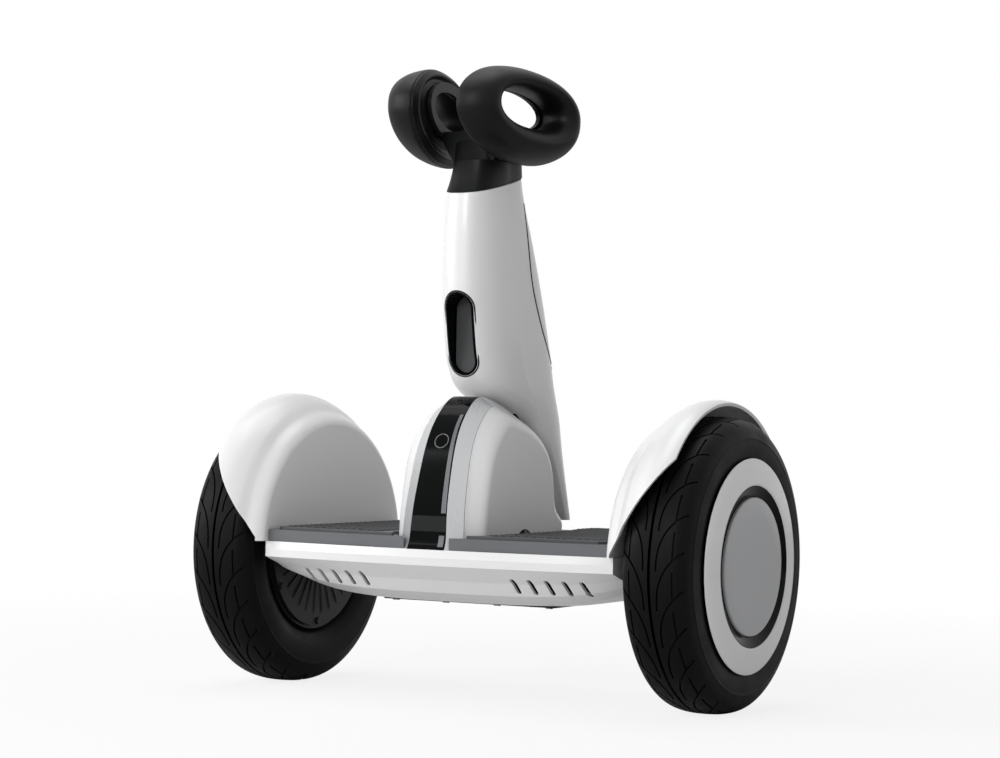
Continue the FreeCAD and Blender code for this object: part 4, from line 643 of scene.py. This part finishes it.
    def add_tyre(self) -> None:
        """Turn the tyre, cut its tread and hang it on the wheel."""
        tyre = self.plain_mesh(f"treaded_tyre_{self.side}", *turned(self.tyre_profile(), 1, self.TYRE_STEPS))
        half = self.groove_width / 2
        low, high = self.radius - self.groove_depth, self.radius + self.groove_overrun
        ring = ((-half, low), (half, low), (half, high), (-half, high))
        cutters = [self.cutter(f"{name}_{self.side}", paths) for name, paths in self.tread_paths().items()]
        cutters.append(self.plain_mesh(f"middle_groove_{self.side}", *turned(ring, 1, self.TYRE_STEPS)))
        for cutter in cutters:
            modifier = tyre.modifiers.new(cutter.name, "BOOLEAN")
            modifier.operation = "DIFFERENCE"
            modifier.solver = "MANIFOLD"
            modifier.object = cutter
        shaped = bpy.data.meshes.new_from_object(tyre.evaluated_get(bpy.context.evaluated_depsgraph_get()))
        tyre.modifiers.clear()
        tyre.data = shaped
        for cutter in cutters:
            bpy.data.objects.remove(cutter)
        tyre.location = self.centre * MM
        bpy.context.view_layer.update()
        self.finish_piece(tyre, SBR_RUBBER, self.body, "tyre_rubber", (f"tyre_{self.side}",), sharp=30)

    def face_piece(self, name: str, outline: Profile, finish: Finish, slot: str, *kinds: str) -> None:
        """Turn one piece of the outer face about the wheel's axle.

        Args:
            name: The piece's name without its side.
            outline: Closed outline: outwards from the face's plane, and radius.
            finish: Its finish.
            slot: The record's material slot.
            kinds: Names, without their side, of the CAD nodes that it stands for.
        """
        profile = [(self.face + out, radius) for out, radius in outline]
        points, faces = turned(profile, self.hand, self.FACE_STEPS)
        replaced = [f"{kind}_{self.side}" for kind in kinds]
        self.piece(f"{name}_{self.side}", ([point + self.centre for point in points], faces), finish,
                   self.body, slot, replaced, sharp=50)

    def add_face(self) -> None:
        """Make the white ring, the dark dish inside it and the grey disc."""
        self.face_piece("white_ring", self.RING, PAINTED_ABS, "white_trim_plastic", "wheel_trim_ring")
        self.face_piece("groove_dish", self.DISH, GLOSS_POLYCARBONATE, "black_gloss_plastic")
        self.face_piece("grey_disc", self.DISC, PAINTED_DISC, "hub_cap_grey", "hub_cap")

    def add_ribs(self) -> None:
        """Stand cooling ribs on the motor's inner cover."""
        low, high = (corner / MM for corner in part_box(f"motor_end_cover_{self.side}"))
        start = (low.x if self.hand > 0 else high.x) - self.centre.x
        wide, narrow = self.rib_halves
        ribs = []
        for turn in round_turns(self.rib_count):
            spoke = Vector((0, math.cos(turn), math.sin(turn)))
            aside = Vector((0, -math.sin(turn), math.cos(turn)))
            rows = []
            for radius, tall in self.rib_line:
                foot, top = Vector((start, 0, 0)), Vector((start - self.hand * tall, 0, 0))
                rows.append([foot + spoke * radius - aside * wide, foot + spoke * radius + aside * wide,
                             top + spoke * radius + aside * narrow, top + spoke * radius - aside * narrow])
            ribs.append(tube(rows))
        points, faces = joined(ribs)
        self.piece(f"cooling_ribs_{self.side}", ([point + self.centre for point in points], faces),
                   COATED_CASTING, self.body, "dark_cast_metal")

    def build(self) -> None:
        """Build the whole wheel."""
        self.add_tyre()
        self.add_face()
        self.add_ribs()


@dataclass
class KneePad(Assembly):
    """One thick, skinned foam loop, with its parting line and the recess round the core's plate.

    Args:
        side: Name of the side it stands on.
        half_length: Half of the loop's length, front to rear.
        half_height: Half of its height.
        half_thickness: Half of its thickness.
        bars: Widths of the front, rear, top and lower bar.
        place: The loop's middle: outwards, along and up.
        flare: Turn of the front end outwards, in degrees.
        tilt: Drop of the front end, in degrees.
        round_steps: Sections round the loop.
        oval_power: How full the ovals are; one is an ellipse.
        front_power: The same at the upper front corner of the outside.
        low_front_power: The same at its lower front corner.
        corner_reach: How far from the corners those two powers reach.
        line_depth: Depth of the parting line.
        line_width: Distance over which the parting line fades.
    """

    side: str
    half_length: float = 84.0
    half_height: float = 46.0
    half_thickness: float = 21.0
    bars: tuple[float, float, float, float] = (40.0, 36.0, 23.0, 35.0)
    place: tuple[float, float, float] = (51.0, -53.0, 566.5)
    flare: float = 10.0
    tilt: float = 5.0
    round_steps: int = 144
    oval_power: float = 0.88
    front_power: float = 0.98
    low_front_power: float = 1.0
    corner_reach: float = 1.6
    line_depth: float = 1.1
    line_width: float = 0.9

    # The section as shares across the bar, from the hole outwards, and of the half thickness; then the
    # parting line's place in the same shares.
    SECTION_SHARES = ((0.0, 0.0), (0.03, 0.34), (0.10, 0.63), (0.22, 0.85), (0.38, 0.96), (0.53, 0.92),
                      (0.67, 0.77), (0.80, 0.52), (0.90, 0.22), (0.965, -0.10), (0.995, -0.34), (1.0, -0.46),
                      (0.985, -0.56), (0.94, -0.63), (0.87, -0.70), (0.79, -0.78), (0.71, -0.76), (0.63, -0.66),
                      (0.55, -0.62), (0.46, -0.66), (0.38, -0.74), (0.20, -0.755), (0.06, -0.70), (0.01, -0.36),
                      (0.0, 0.0))
    LINE_SHARE = (0.985, -0.555)

    def oval(self, turn: float, along: float, up: float, outside: bool) -> Vector:
        """Give a point of an oval that is fuller than an ellipse, most of all at its low front.

        Args:
            turn: Angle round the oval, from the rear upwards.
            along: Half of its length.
            up: Half of its height.
            outside: Whether the front corners are filled out.

        Returns:
            The point in the loop's own plane.
        """
        across, rise = math.cos(turn), math.sin(turn)
        power = self.oval_power
        if outside and across < 0:
            corner = self.front_power if rise > 0 else self.low_front_power
            power += (corner - power) * min(1.0, abs(2 * across * rise) * self.corner_reach)
        return Vector((0, along * math.copysign(abs(across) ** power, across),
                       up * math.copysign(abs(rise) ** power, rise)))

    def section(self) -> list[tuple[float, float, float]]:
        """Give the closed section of the loop.

        Returns:
            Rows of the share across the bar, the share of the half thickness, and the line's depth there.
        """
        line = smooth_line(self.SECTION_SHARES, 4)[:-1]
        reach, half = sum(self.bars) / len(self.bars), self.half_thickness
        rows = []
        for across, out in line:
            away = math.hypot((across - self.LINE_SHARE[0]) * reach, (out - self.LINE_SHARE[1]) * half)
            rows.append((across, out, self.line_depth * math.exp(-(away / self.line_width) ** 2)))
        return rows

    def build(self) -> None:
        """Form the loop, turn it to its place and stand it for the CAD's plain pad."""
        hand = SIDES[self.side]
        front, rear, top, low = self.bars
        hole_along = self.half_length - (front + rear) / 2
        hole_up = self.half_height - (top + low) / 2
        shift = Vector((0, (front - rear) / 2, (low - top) / 2))
        rows = []
        section = self.section()
        for turn in round_turns(self.round_steps):
            outer = self.oval(turn, self.half_length, self.half_height, True)
            inner = self.oval(turn, hole_along, hole_up, False) + shift
            ahead = (outer - inner).normalized()
            rows.append([inner + (outer - inner) * across - ahead * dip
                         + Vector((hand * self.half_thickness * out, 0, 0)) for across, out, dip in section])
        out, along, up = self.place
        stand = (Matrix.Translation(Vector((out * hand, along, up)))
                 @ Matrix.Rotation(math.radians(-self.flare * hand), 4, "Z")
                 @ Matrix.Rotation(math.radians(-self.tilt), 4, "X"))
        form = ([stand @ point for row in rows for point in row], quads(len(rows), len(rows[0])))
        pad = self.piece(f"foam_loop_{self.side}", form, SKINNED_FOAM, "knee_bar", "soft_pad_rubber",
                         (f"knee_pad_{self.side}",), sharp=60)


@dataclass
class NeckSaddle(Assembly):
    """The soft skin that carries the neck's shape up between the two loops.

    Args:
        levels: Rows of height, half width, front and rear.
        corner_power: How square each level is; one half is a rounded square.
        round_steps: Points round each level.
    """

    levels: tuple[tuple[float, float, float, float], ...] = (
        (524.4, 25.6, -62.0, 9.0), (532.0, 25.8, -62.6, 9.5), (541.0, 26.2, -63.6, 9.0),
        (547.0, 25.6, -62.0, 7.0), (551.5, 23.4, -58.5, 3.0), (554.4, 19.0, -53.0, -3.0),
        (556.0, 12.0, -45.0, -14.0))
    corner_power: float = 0.5
    round_steps: int = 72

    def build(self) -> None:
        """Form the saddle and hang it on the knee bar."""
        rows = []
        for up, half, front, rear in self.levels:
            row = []
            for turn in round_turns(self.round_steps):
                across = math.copysign(abs(math.cos(turn)) ** self.corner_power, math.cos(turn))
                along = math.copysign(abs(math.sin(turn)) ** self.corner_power, math.sin(turn))
                row.append(Vector((half * across, (front + rear) / 2 + (rear - front) / 2 * along, up)))
            rows.append(row)
        self.piece("neck_saddle", tube(rows), SKINNED_FOAM, "knee_bar", "soft_pad_rubber", sharp=50)


@dataclass
class FootMat(Assembly):
    """A moulded rubber mat whose top carries rows of small chevrons.

    Args:
        side: Name of the side it lies on.
        rib_height: Height of a chevron above the mat's skin.
        pitch_across: Distance of the chevrons in a row.
        pitch_along: Distance of the rows.
        arm: Half of a chevron's width.
        drop: How far a chevron's ends lie behind its point.
        thick: Width of a chevron's bar.
        taper: Share of that width at the chevron's top.
        border: Bare width along the edge.
        edge_round: Size of the rounded edge.
        edge_share: Share of that size cut off where the edge begins to turn.
        root: How deep a chevron stands in the skin.
        point_share: How much further the bar reaches at the chevron's point.
        arm_taper: Loss of the arm for a top of no width.
    """

    side: str
    rib_height: float = 1.1
    pitch_across: float = 8.4
    pitch_along: float = 4.6
    arm: float = 3.7
    drop: float = 2.4
    thick: float = 1.7
    taper: float = 0.55
    border: float = 5.5
    edge_round: float = 1.0
    edge_share: float = 0.3
    root: float = 0.1
    point_share: float = 1.2
    arm_taper: float = 0.4

    # Faces within this angle, in radians, are one face, and a face that looks up has this much of +Z.
    FLAT_ANGLE = 0.01
    UPWARDS = 0.9

    def outline(self) -> list[Vector]:
        """Read the mat's outline from the frame.

        Returns:
            The corners of its top face in order, in millimetres.
        """
        work = bmesh.new()
        work.from_mesh(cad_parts[f"foot_mat_{self.side}"].data)
        bmesh.ops.remove_doubles(work, verts=work.verts, dist=WELD)
        bmesh.ops.dissolve_limit(work, angle_limit=self.FLAT_ANGLE, verts=work.verts, edges=work.edges)
        top = max((face for face in work.faces if face.normal.z > self.UPWARDS),
                  key=lambda face: face.calc_area())
        corners = [vertex.co / MM for vertex in top.verts]
        work.free()
        LOG.info("foot mat %s: %d corners", self.side, len(corners))
        return corners

    def inset(self, corners: Sequence[Vector], width: float, level: float) -> list[Vector]:
        """Move an outline inwards and to a level.

        Args:
            corners: The outline's corners, against the clock seen from above.
            width: How far inwards it moves.
            level: Its new height.

        Returns:
            The moved corners.
        """
        moved = []
        for index, corner in enumerate(corners):
            before = (corner - corners[index - 1]).normalized()
            after = (corners[(index + 1) % len(corners)] - corner).normalized()
            one, two = Vector((-before.y, before.x)), Vector((-after.y, after.x))
            shift = (one + two) / (1 + one.dot(two)) * width
            moved.append(Vector((corner.x + shift.x, corner.y + shift.y, level)))
        return moved

    def inside(self, corners: Sequence[Vector], spot: Vector) -> bool:
        """Tell whether a spot lies inside an outline, seen from above.

        Args:
            corners: The outline's corners in order.
            spot: The spot to look at.

        Returns:
            True for a spot inside.
        """
        hit = False
        for one, two in zip(corners, [*corners[1:], corners[0]]):
            if (one.y > spot.y) != (two.y > spot.y):
                if spot.x < one.x + (spot.y - one.y) * (two.x - one.x) / (two.y - one.y):
                    hit = not hit
        return hit

    def build(self) -> None:
        """Make the mat's body and its chevrons as one piece."""
        low, high = (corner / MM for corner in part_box(f"foot_mat_{self.side}"))
        skin = high.z - self.rib_height
        corners = self.outline()
        turning = self.edge_round * self.edge_share
        levels = ((0.0, low.z), (0.0, skin - self.edge_round), (turning, skin - turning),
                  (self.edge_round, skin))
        forms = [tube([self.inset(corners, width, level) for width, level in levels])]
        room = self.inset(corners, self.border, skin)
        row, along = 0, low.y
        while along < high.y:
            across = low.x + (self.pitch_across / 2 if row % 2 else 0)
            while across < high.x:
                ends = [Vector((across + reach, along + self.drop, 0)) for reach in (-self.arm, self.arm)]
                if all(self.inside(room, spot) for spot in (*ends, Vector((across, along, 0)))):
                    forms.append(self.chevron(across, along, skin, high.z))
                across += self.pitch_across
            along += self.pitch_along
            row += 1
        self.piece(f"ribbed_mat_{self.side}", joined(forms), NITRILE_MAT, f"mat_{self.side}", "mat_rubber",
                   (f"foot_mat_{self.side}",), sharp=25)

    def chevron(self, across: float, along: float, low: float, high: float) -> Form:
        """Make one chevron, narrower at its top.

        Args:
            across: Its point's place to the right.
            along: Its point's place to the rear.
            low: Height of the skin that it stands on.
            high: Height of its top.

        Returns:
            Points and faces of the chevron.
        """
        rows = []
        for level, share in ((low - self.root, 1.0), (high, self.taper)):
            arm, half = self.arm - (1 - share) * self.arm_taper, self.thick * share / 2
            tip = half * self.point_share
            outline = ((-arm, self.drop - half), (0, -tip), (arm, self.drop - half), (arm, self.drop + half),
                       (0, tip), (-arm, self.drop + half))
            rows.append([Vector((across + out, along + forth, level)) for out, forth in outline])
        return tube(rows)


class Skin:
    """The outside of some CAD nodes, which a straight line can find."""

    def __init__(self, *names: str) -> None:
        """Gather the faces of the named nodes.

        Args:
            names: Names of CAD nodes.
        """
        points, faces = [], []
        for name in names:
            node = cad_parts[name]
            shift = len(points)
            points += [node.matrix_world @ vertex.co / MM for vertex in node.data.vertices]
            faces += [tuple(shift + corner for corner in polygon.vertices) for polygon in node.data.polygons]
        self.tree = BVHTree.FromPolygons(points, faces)

    def hit(self, start: Vector, ahead: Vector) -> Spot | None:
        """Follow a line to the skin.

        Args:
            start: Where the line starts, in millimetres.
            ahead: The line's direction.

        Returns:
            The place on the skin and the direction out of it, or nothing.
        """
        place, normal, _, _ = self.tree.ray_cast(start, ahead)
        if place is None:
            return None
        return place, normal if normal.dot(ahead) < 0 else -normal


def bead(path: Sequence[Spot], radius: float, closed: bool, sides: int = 10) -> Form:
    """Lay a thin round bead along a path.

    Args:
        path: Pairs of a place and the direction out of the surface there.
        radius: The bead's radius.
        closed: Whether the path is a loop.
        sides: Faces round the bead.

    Returns:
        Points and faces of the bead.
    """
    rows = []
    for index, (place, normal) in enumerate(path):
        if closed:
            ahead = path[(index + 1) % len(path)][0] - path[index - 1][0]
        else:
            ahead = path[min(index + 1, len(path) - 1)][0] - path[max(index - 1, 0)][0]
        aside = normal.cross(ahead).normalized()
        out = ahead.cross(aside).normalized()
        rows.append([place + (out * math.cos(turn) + aside * math.sin(turn)) * radius
                     for turn in round_turns(sides)])
    if not closed:
        return tube(rows)
    return [point for row in rows for point in row], quads(len(rows), sides)


@dataclass
class Stem(Assembly):
    """The seam of the stem's rear cover, the fittings of its pocket and a painted highlight on the pocket's edge.

    Args:
        seam: Corners of the seam seen from the side: backwards and up.
        seam_radius: Radius of the dark gasket in the seam.
        seam_sink: How deep the gasket's middle lies under the skin.
        seam_turn: Place, backwards, from which the seam turns to the back.
        seam_middle: Place, backwards, of the axis that it turns about.
        first_turn: Angle about that axis where the turn begins, in degrees; 90 is the middle of the back.
        back_steps: Points of the seam on one side of the back.
        pocket_half: Half of the pocket's width.
        pocket_straight: Half of the pocket's straight height.
        pocket_level: Height of the pocket's middle.
        rim: How far outside the pocket its rim lies, its depth under the skin and its radius.
        line: The same for the bright line, a painted highlight on the pocket's edge, with its distance behind the
            rim as the depth.
        plate_inset: Distance of the pad's edge from the pocket's outline.
        plate_front: Place of the pad's face, backwards.
        plate_thickness: Thickness of the pad.
        ray_start: Distance from which the skin is looked for.
        pocket_ray: Place, backwards, from which the skin round the pocket is looked for.
    """

    seam: tuple[tuple[float, float], ...] = ((-1.3, 506.0), (-1.05, 495.0), (1.6, 450.0), (9.0, 405.0),
                                             (29.0, 363.0), (56.0, 330.0), (72.0, 321.0), (90.0, 314.8))
    seam_radius: float = 1.5
    seam_sink: float = 0.9
    seam_turn: float = 54.0
    seam_middle: float = 40.0
    first_turn: float = 30.0
    back_steps: int = 16
    pocket_half: float = 15.5
    pocket_straight: float = 24.5
    pocket_level: float = 355.0
    rim: tuple[float, float, float] = (1.0, 0.35, 0.9)
    line: tuple[float, float, float] = (-0.5, 1.6, 0.55)
    plate_inset: float = 3.0
    plate_front: float = -60.4
    plate_thickness: float = 1.5
    ray_start: float = 120.0
    pocket_ray: float = -140.0

    def stadium(self, grow: float, steps: int = 24) -> list[tuple[float, float]]:
        """Give the pocket's outline, grown by a width.

        Args:
            grow: The width; a negative one shrinks it.
            steps: Faces of each round end.

        Returns:
            Pairs of (across, up).
        """
        radius = self.pocket_half + grow
        line = []
        for middle, start in ((self.pocket_straight, 0.0), (-self.pocket_straight, math.pi)):
            for step in range(steps + 1):
                turn = start + math.pi * step / steps
                line.append((radius * math.cos(turn), self.pocket_level + middle + radius * math.sin(turn)))
        return line

    def seam_side(self, skin: Skin, hand: int) -> list[Spot]:
        """Find one side of the seam, from the neck down and round to the middle of the back.

        Args:
            skin: The stem's outside.
            hand: Side of the object.

        Returns:
            Pairs of a place and the direction out of the surface there.
        """
        line = smooth_line(self.seam, 8)
        spots = [(Vector((hand * self.ray_start, back, up)), Vector((-hand, 0.0, 0.0)))
                 for back, up in line if back < self.seam_turn]
        start, end = between(line, self.seam_turn), self.seam[-1][1]
        for step in range(1, self.back_steps + 1):
            share = step / self.back_steps
            turn = math.radians(self.first_turn + (90 - self.first_turn) * share)
            spoke = Vector((hand * math.cos(turn), math.sin(turn), 0.0))
            level = end + (start - end) * (1 - share) ** 2
            spots.append((Vector((0.0, self.seam_middle, level)) + spoke * self.ray_start, -spoke))
        found = [skin.hit(*spot) for spot in spots]
        return [(place - normal * self.seam_sink, normal) for place, normal in filter(None, found)]

    def add_seam(self, skin: Skin) -> None:
        """Lay one dark gasket between the front shell and the rear cover, down one side and up the other.

        Args:
            skin: The stem's outside.
        """
        left, right = (self.seam_side(skin, hand) for hand in SIDES.values())
        path = [*left, *reversed(right[:-1])]
        self.piece("seam_gasket", bead(path, self.seam_radius, False), BLACK_ABS, "steering",
                   "dark_moulded_plastic", sharp=60)

    def add_pocket(self, skin: Skin) -> None:
        """Fit the pocket's dark rim, a bright inner line that is a painted highlight on its edge, and the rubber
        pad at its back.

        Args:
            skin: The outside of the stem's front.
        """
        grow, sink, radius = self.rim
        rim = []
        for across, up in self.stadium(grow):
            found = skin.hit(Vector((across, self.pocket_ray, up)), Vector((0.0, 1.0, 0.0)))
            if found:
                rim.append((found[0] - found[1] * sink, found[1]))
        self.piece("pocket_rim", bead(rim, radius, True), BLACK_ABS, "steering", "dark_moulded_plastic",
                   sharp=60)
        # A silver bead just inside the rim: painted highlight standing for the light on the pocket's edge.
        grow, back, radius = self.line
        inner = [(Vector((across, place.y + back, up)), normal)
                 for (across, up), (place, normal) in zip(self.stadium(grow), rim)]
        self.piece("pocket_painted_highlight", bead(inner, radius, True), SILVER_LACQUER_AND_PAINTED_HIGHLIGHT, "steering",
                   "silver_band_plastic", sharp=60)
        outline = self.stadium(-self.plate_inset)
        rows = [[Vector((across, back, up)) for across, up in outline]
                for back in (self.plate_front, self.plate_front + self.plate_thickness)]
        self.piece("pocket_pad", tube(rows), NITRILE_MAT, "steering", "mat_rubber")

    def build(self) -> None:
        """Build what the stem carries."""
        self.add_seam(Skin("stem_front_shell", "stem_rear_cover"))
        self.add_pocket(Skin("stem_front_shell"))


@dataclass
class FrontPanel(Assembly):
    """What sits on the glossy strip: grey bars that paint the reflection of its right chamfer, the button's ring
    and the small port.

    Args:
        middle: The cowl's centre seen from the side: backwards and up.
        spans: First and last angle of each grey bar, a painted reflection, above the horizon, in degrees.
        half_widths: Rows of an angle and half of the strip's width there.
        bar_steps: Straight pieces in each bar.
        bar_edge: Distance of the bar from the strip's edge.
        bar_width: Width of the bar at its foot and at its top.
        bar_rise: Height of the bar above the strip.
        bar_sink: Depth of the bar in the strip.
        button_ring: Angle, radius and thickness of the ring round the button.
        port_ring: The same for the small port.
        ring_beside: How far beside a ring the strip's face is read.
        ring_steps: Points round each ring.
        ray_radius: Distance from the centre where the search for the strip begins.
        plain_radius: Radius taken where no face is met.
    """

    middle: tuple[float, float] = (-25.0, 149.0)
    spans: tuple[tuple[float, float], ...] = ((1.5, 7.5), (19.0, 64.0))
    half_widths: tuple[tuple[float, float], ...] = ((0.0, 20.5), (20.0, 20.3), (77.0, 14.0))
    bar_steps: int = 24
    bar_edge: float = 2.2
    bar_width: tuple[float, float] = (6.0, 3.6)
    bar_rise: float = 0.35
    bar_sink: float = 0.3
    button_ring: tuple[float, float, float] = (52.0, 7.2, 0.55)
    port_ring: tuple[float, float, float] = (71.5, 3.6, 0.6)
    ring_beside: float = 1.5
    ring_steps: int = 48
    ray_radius: float = 200.0
    plain_radius: float = 140.0

    def spot(self, skin: Skin, angle: float, across: float) -> Spot:
        """Find a place on the strip's face.

        Args:
            skin: The strip's outside.
            angle: Angle above the horizon, in degrees.
            across: Distance from the middle, to the right.

        Returns:
            The place and the direction out of the face there.
        """
        turn = math.radians(angle)
        inwards = Vector((0.0, math.cos(turn), -math.sin(turn)))
        start = Vector((across, self.middle[0], self.middle[1])) - inwards * self.ray_radius
        return skin.hit(start, inwards) or (start + inwards * (self.ray_radius - self.plain_radius), -inwards)

    def add_bars(self, skin: Skin) -> None:
        """Lay the grey bars along the strip's right edge, as painted reflection of the chamfer there.

        Args:
            skin: The strip's outside.
        """
        foot, head = self.bar_width
        for number, (first, last) in enumerate(self.spans):
            rows = []
            for step in range(self.bar_steps + 1):
                angle = first + (last - first) * step / self.bar_steps
                wide = foot + (head - foot) * angle / self.spans[-1][1]
                outer = between(self.half_widths, angle) - self.bar_edge
                corners = []
                for across in (outer - wide, outer):
                    place, normal = self.spot(skin, angle, across)
                    corners.append((place - normal * self.bar_sink, place + normal * self.bar_rise))
                (low_in, top_in), (low_out, top_out) = corners
                rows.append([low_in, low_out, top_out, top_in])
            # Each grey bar is painted reflection: it stands for the light caught by the strip's right chamfer.
            self.piece(f"painted_chamfer_reflection_bar_{number}", tube(rows), GREY_RING_AND_PAINTED_REFLECTION, "chassis", "black_gloss_plastic")

    def add_ring(self, skin: Skin, name: str, ring: tuple[float, float, float], finish: Finish) -> None:
        """Lay a thin ring on the strip, at a depth that is read just beside it.

        Args:
            skin: The strip's outside.
            name: The ring's name.
            ring: Its angle above the horizon, radius and thickness.
            finish: Its finish.
        """
        angle, radius, thick = ring
        place, normal = self.spot(skin, angle, radius + self.ring_beside)
        place = Vector((0.0, place.y, place.z))
        aside = Vector((1.0, 0.0, 0.0))
        up = normal.cross(aside)
        path = [(place + (aside * math.cos(turn) + up * math.sin(turn)) * radius, normal)
                for turn in round_turns(self.ring_steps)]
        self.piece(name, bead(path, thick, True), finish, "chassis", "black_gloss_plastic", sharp=60)

    def build(self) -> None:
        """Build everything on the strip."""
        skin = Skin("front_panel", "cowl_top_cap", "headlight_lens")
        self.add_bars(skin)
        self.add_ring(skin, "button_ring", self.button_ring, GREY_RING_AND_PAINTED_REFLECTION)
        self.add_ring(skin, "port_ring", self.port_ring, BLACK_ABS)


@dataclass
class Studio:
    """A pale floor, soft lamps and the camera where the photograph was taken from.

    Args:
        camera_place: The camera's place in metres.
        yaw: Turn of the view to the left of +Y, in degrees.
        pitch: Downward tilt, in degrees.
        roll: Turn about the line of sight, in degrees.
        focal_pixels: Focal length in pixels of a 1000 pixel wide picture.
        picture_width: Width of the photograph in pixels.
        sensor_width: Width of the camera's sensor.
        floor_half: Half of the floor's side, in metres.
        floor_colour: The paper's sRGB colour.
        shadow_reach: Distances from the middle between which the shadow fades, in metres.
        near_lift: Share of plain white that the camera sees near the object.
        aim: What every lamp points at, in metres.
        lamps: Name, place in metres, side in metres and watts of each soft box.
        surround: Strength of the even white surround as a light.
        backdrop: Strength of it as the camera, mirrors and clear plastic see it.
    """

    camera_place: tuple[float, float, float] = (1.283, -2.259, 0.279)
    yaw: float = 29.54
    pitch: float = -0.75
    roll: float = 1.114
    focal_pixels: float = 2626.0
    picture_width: float = 1000.0
    sensor_width: float = 36.0
    floor_half: float = 14.0
    floor_colour: str = "#F2F2F2"
    shadow_reach: tuple[float, float] = (0.45, 1.5)
    near_lift: float = 0.84
    aim: tuple[float, float, float] = (0.0, 0.0, 0.3)
    lamps: tuple[tuple[str, tuple[float, float, float], float, float], ...] = (
        ("key_softbox", (-3.0, -2.2, 1.6), 2.2, 73.0),
        ("front_softbox", (0.1, -3.6, 1.7), 1.1, 52.0),
        ("top_softbox", (-0.6, 0.4, 3.2), 2.0, 30.0))
    surround: float = 0.27
    backdrop: float = 1.0

    def add_camera(self) -> None:
        """Make the camera and set it as the scene's own."""
        yaw, pitch, roll = (math.radians(angle) for angle in (self.yaw, self.pitch, self.roll))
        ahead = Vector((-math.sin(yaw) * math.cos(pitch), math.cos(yaw) * math.cos(pitch), -math.sin(pitch)))
        right = Vector((math.cos(yaw), math.sin(yaw), 0))
        up = right.cross(ahead)
        right_rolled = right * math.cos(roll) + up * math.sin(roll)
        up_rolled = up * math.cos(roll) - right * math.sin(roll)
        lens = bpy.data.cameras.new("photo_camera")
        lens.sensor_width = self.sensor_width
        lens.lens = self.focal_pixels * lens.sensor_width / self.picture_width
        camera = bpy.data.objects.new("photo_camera", lens)
        turn = Matrix((right_rolled, up_rolled, -ahead)).transposed()
        camera.matrix_world = Matrix.LocRotScale(Vector(self.camera_place), turn, None)
        bpy.context.scene.collection.objects.link(camera)
        bpy.context.scene.camera = camera

    def add_floor(self) -> None:
        """Lay the floor and let it fade to the backdrop's white for the camera alone."""
        mesh = bpy.data.meshes.new("studio_floor")
        half = self.floor_half
        corners = [(-half, -half, 0), (half, -half, 0), (half, half, 0), (-half, half, 0)]
        mesh.from_pydata(corners, [], [(0, 1, 2, 3)])
        floor = bpy.data.objects.new("studio_floor", mesh)
        bpy.context.scene.collection.objects.link(floor)
        material = bpy.data.materials.new("studio_paper")
        material.use_nodes = True
        tree = material.node_tree
        tree.nodes.clear()
        paper = add_node(tree, "ShaderNodeBsdfDiffuse", {"Color": linear(self.floor_colour)})
        seen = add_node(tree, "ShaderNodeLightPath").outputs["Is Camera Ray"]
        spot = add_node(tree, "ShaderNodeTexCoord").outputs["Object"]
        away = add_node(tree, "ShaderNodeVectorMath", {}, {0: spot}, operation="LENGTH").outputs["Value"]
        near, far = self.shadow_reach
        fade = add_node(tree, "ShaderNodeMapRange",
                        {"From Min": near, "From Max": far, "To Min": self.near_lift, "To Max": 1.0},
                        {"Value": away})
        amount = add_node(tree, "ShaderNodeMath", {}, {0: fade.outputs[0], 1: seen}, operation="MULTIPLY")
        lift = add_node(tree, "ShaderNodeEmission", {"Color": (1, 1, 1, 1), "Strength": 1.0})
        share = add_node(tree, "ShaderNodeMixShader", {},
                         {0: amount.outputs[0], 1: paper.outputs[0], 2: lift.outputs[0]})
        add_node(tree, "ShaderNodeOutputMaterial", links={"Surface": share.outputs[0]})
        mesh.materials.append(material)

    def add_lamp(self, name: str, place: Sequence[float], size: float, watts: float) -> None:
        """Hang one square soft box that points at the aim.

        Args:
            name: The lamp's name.
            place: Where it hangs, in metres.
            size: Side of the square, in metres.
            watts: Its power.
        """
        light = bpy.data.lights.new(name, "AREA")
        light.size = size
        light.energy = watts
        lamp = bpy.data.objects.new(name, light)
        lamp.location = place
        lamp.rotation_euler = (Vector(self.aim) - Vector(place)).to_track_quat("-Z", "Y").to_euler()
        bpy.context.scene.collection.objects.link(lamp)

    def add_lights(self) -> None:
        """Light the object softly from the left, the front and above, in an even white surround."""
        for lamp in self.lamps:
            self.add_lamp(*lamp)
        world = bpy.data.worlds.new("studio_surround")
        bpy.context.scene.world = world
        world.use_nodes = True
        tree = world.node_tree
        tree.nodes.clear()
        paths = add_node(tree, "ShaderNodeLightPath").outputs
        seen = paths["Is Camera Ray"]
        for kind in ("Is Glossy Ray", "Is Transmission Ray"):
            seen = add_node(tree, "ShaderNodeMath", {}, {0: seen, 1: paths[kind]}, operation="MAXIMUM").outputs[0]
        soft, white = (add_node(tree, "ShaderNodeBackground", {"Color": (1, 1, 1, 1), "Strength": strength})
                       for strength in (self.surround, self.backdrop))
        both = add_node(tree, "ShaderNodeMixShader", {}, {0: seen, 1: soft.outputs[0], 2: white.outputs[0]})
        add_node(tree, "ShaderNodeOutputWorld", links={"Surface": both.outputs[0]})

    def build(self) -> None:
        """Set up the camera, the floor, the lamps and the plain view."""
        self.add_camera()
        self.add_floor()
        self.add_lights()
        bpy.context.scene.view_settings.view_transform = "Standard"
        LOG.info("studio ready")


def main() -> None:
    """Build the studio, dress the frame and report each piece."""
    logging.basicConfig(level=logging.INFO, format="%(message)s")
    Studio().build()
    dress_nodes()
    for side in SIDES:
        Wheel(side).build()
        KneePad(side).build()
        FootMat(side).build()
    NeckSaddle().build()
    Stem().build()
    FrontPanel().build()


if __name__ == "__main__":
    main()
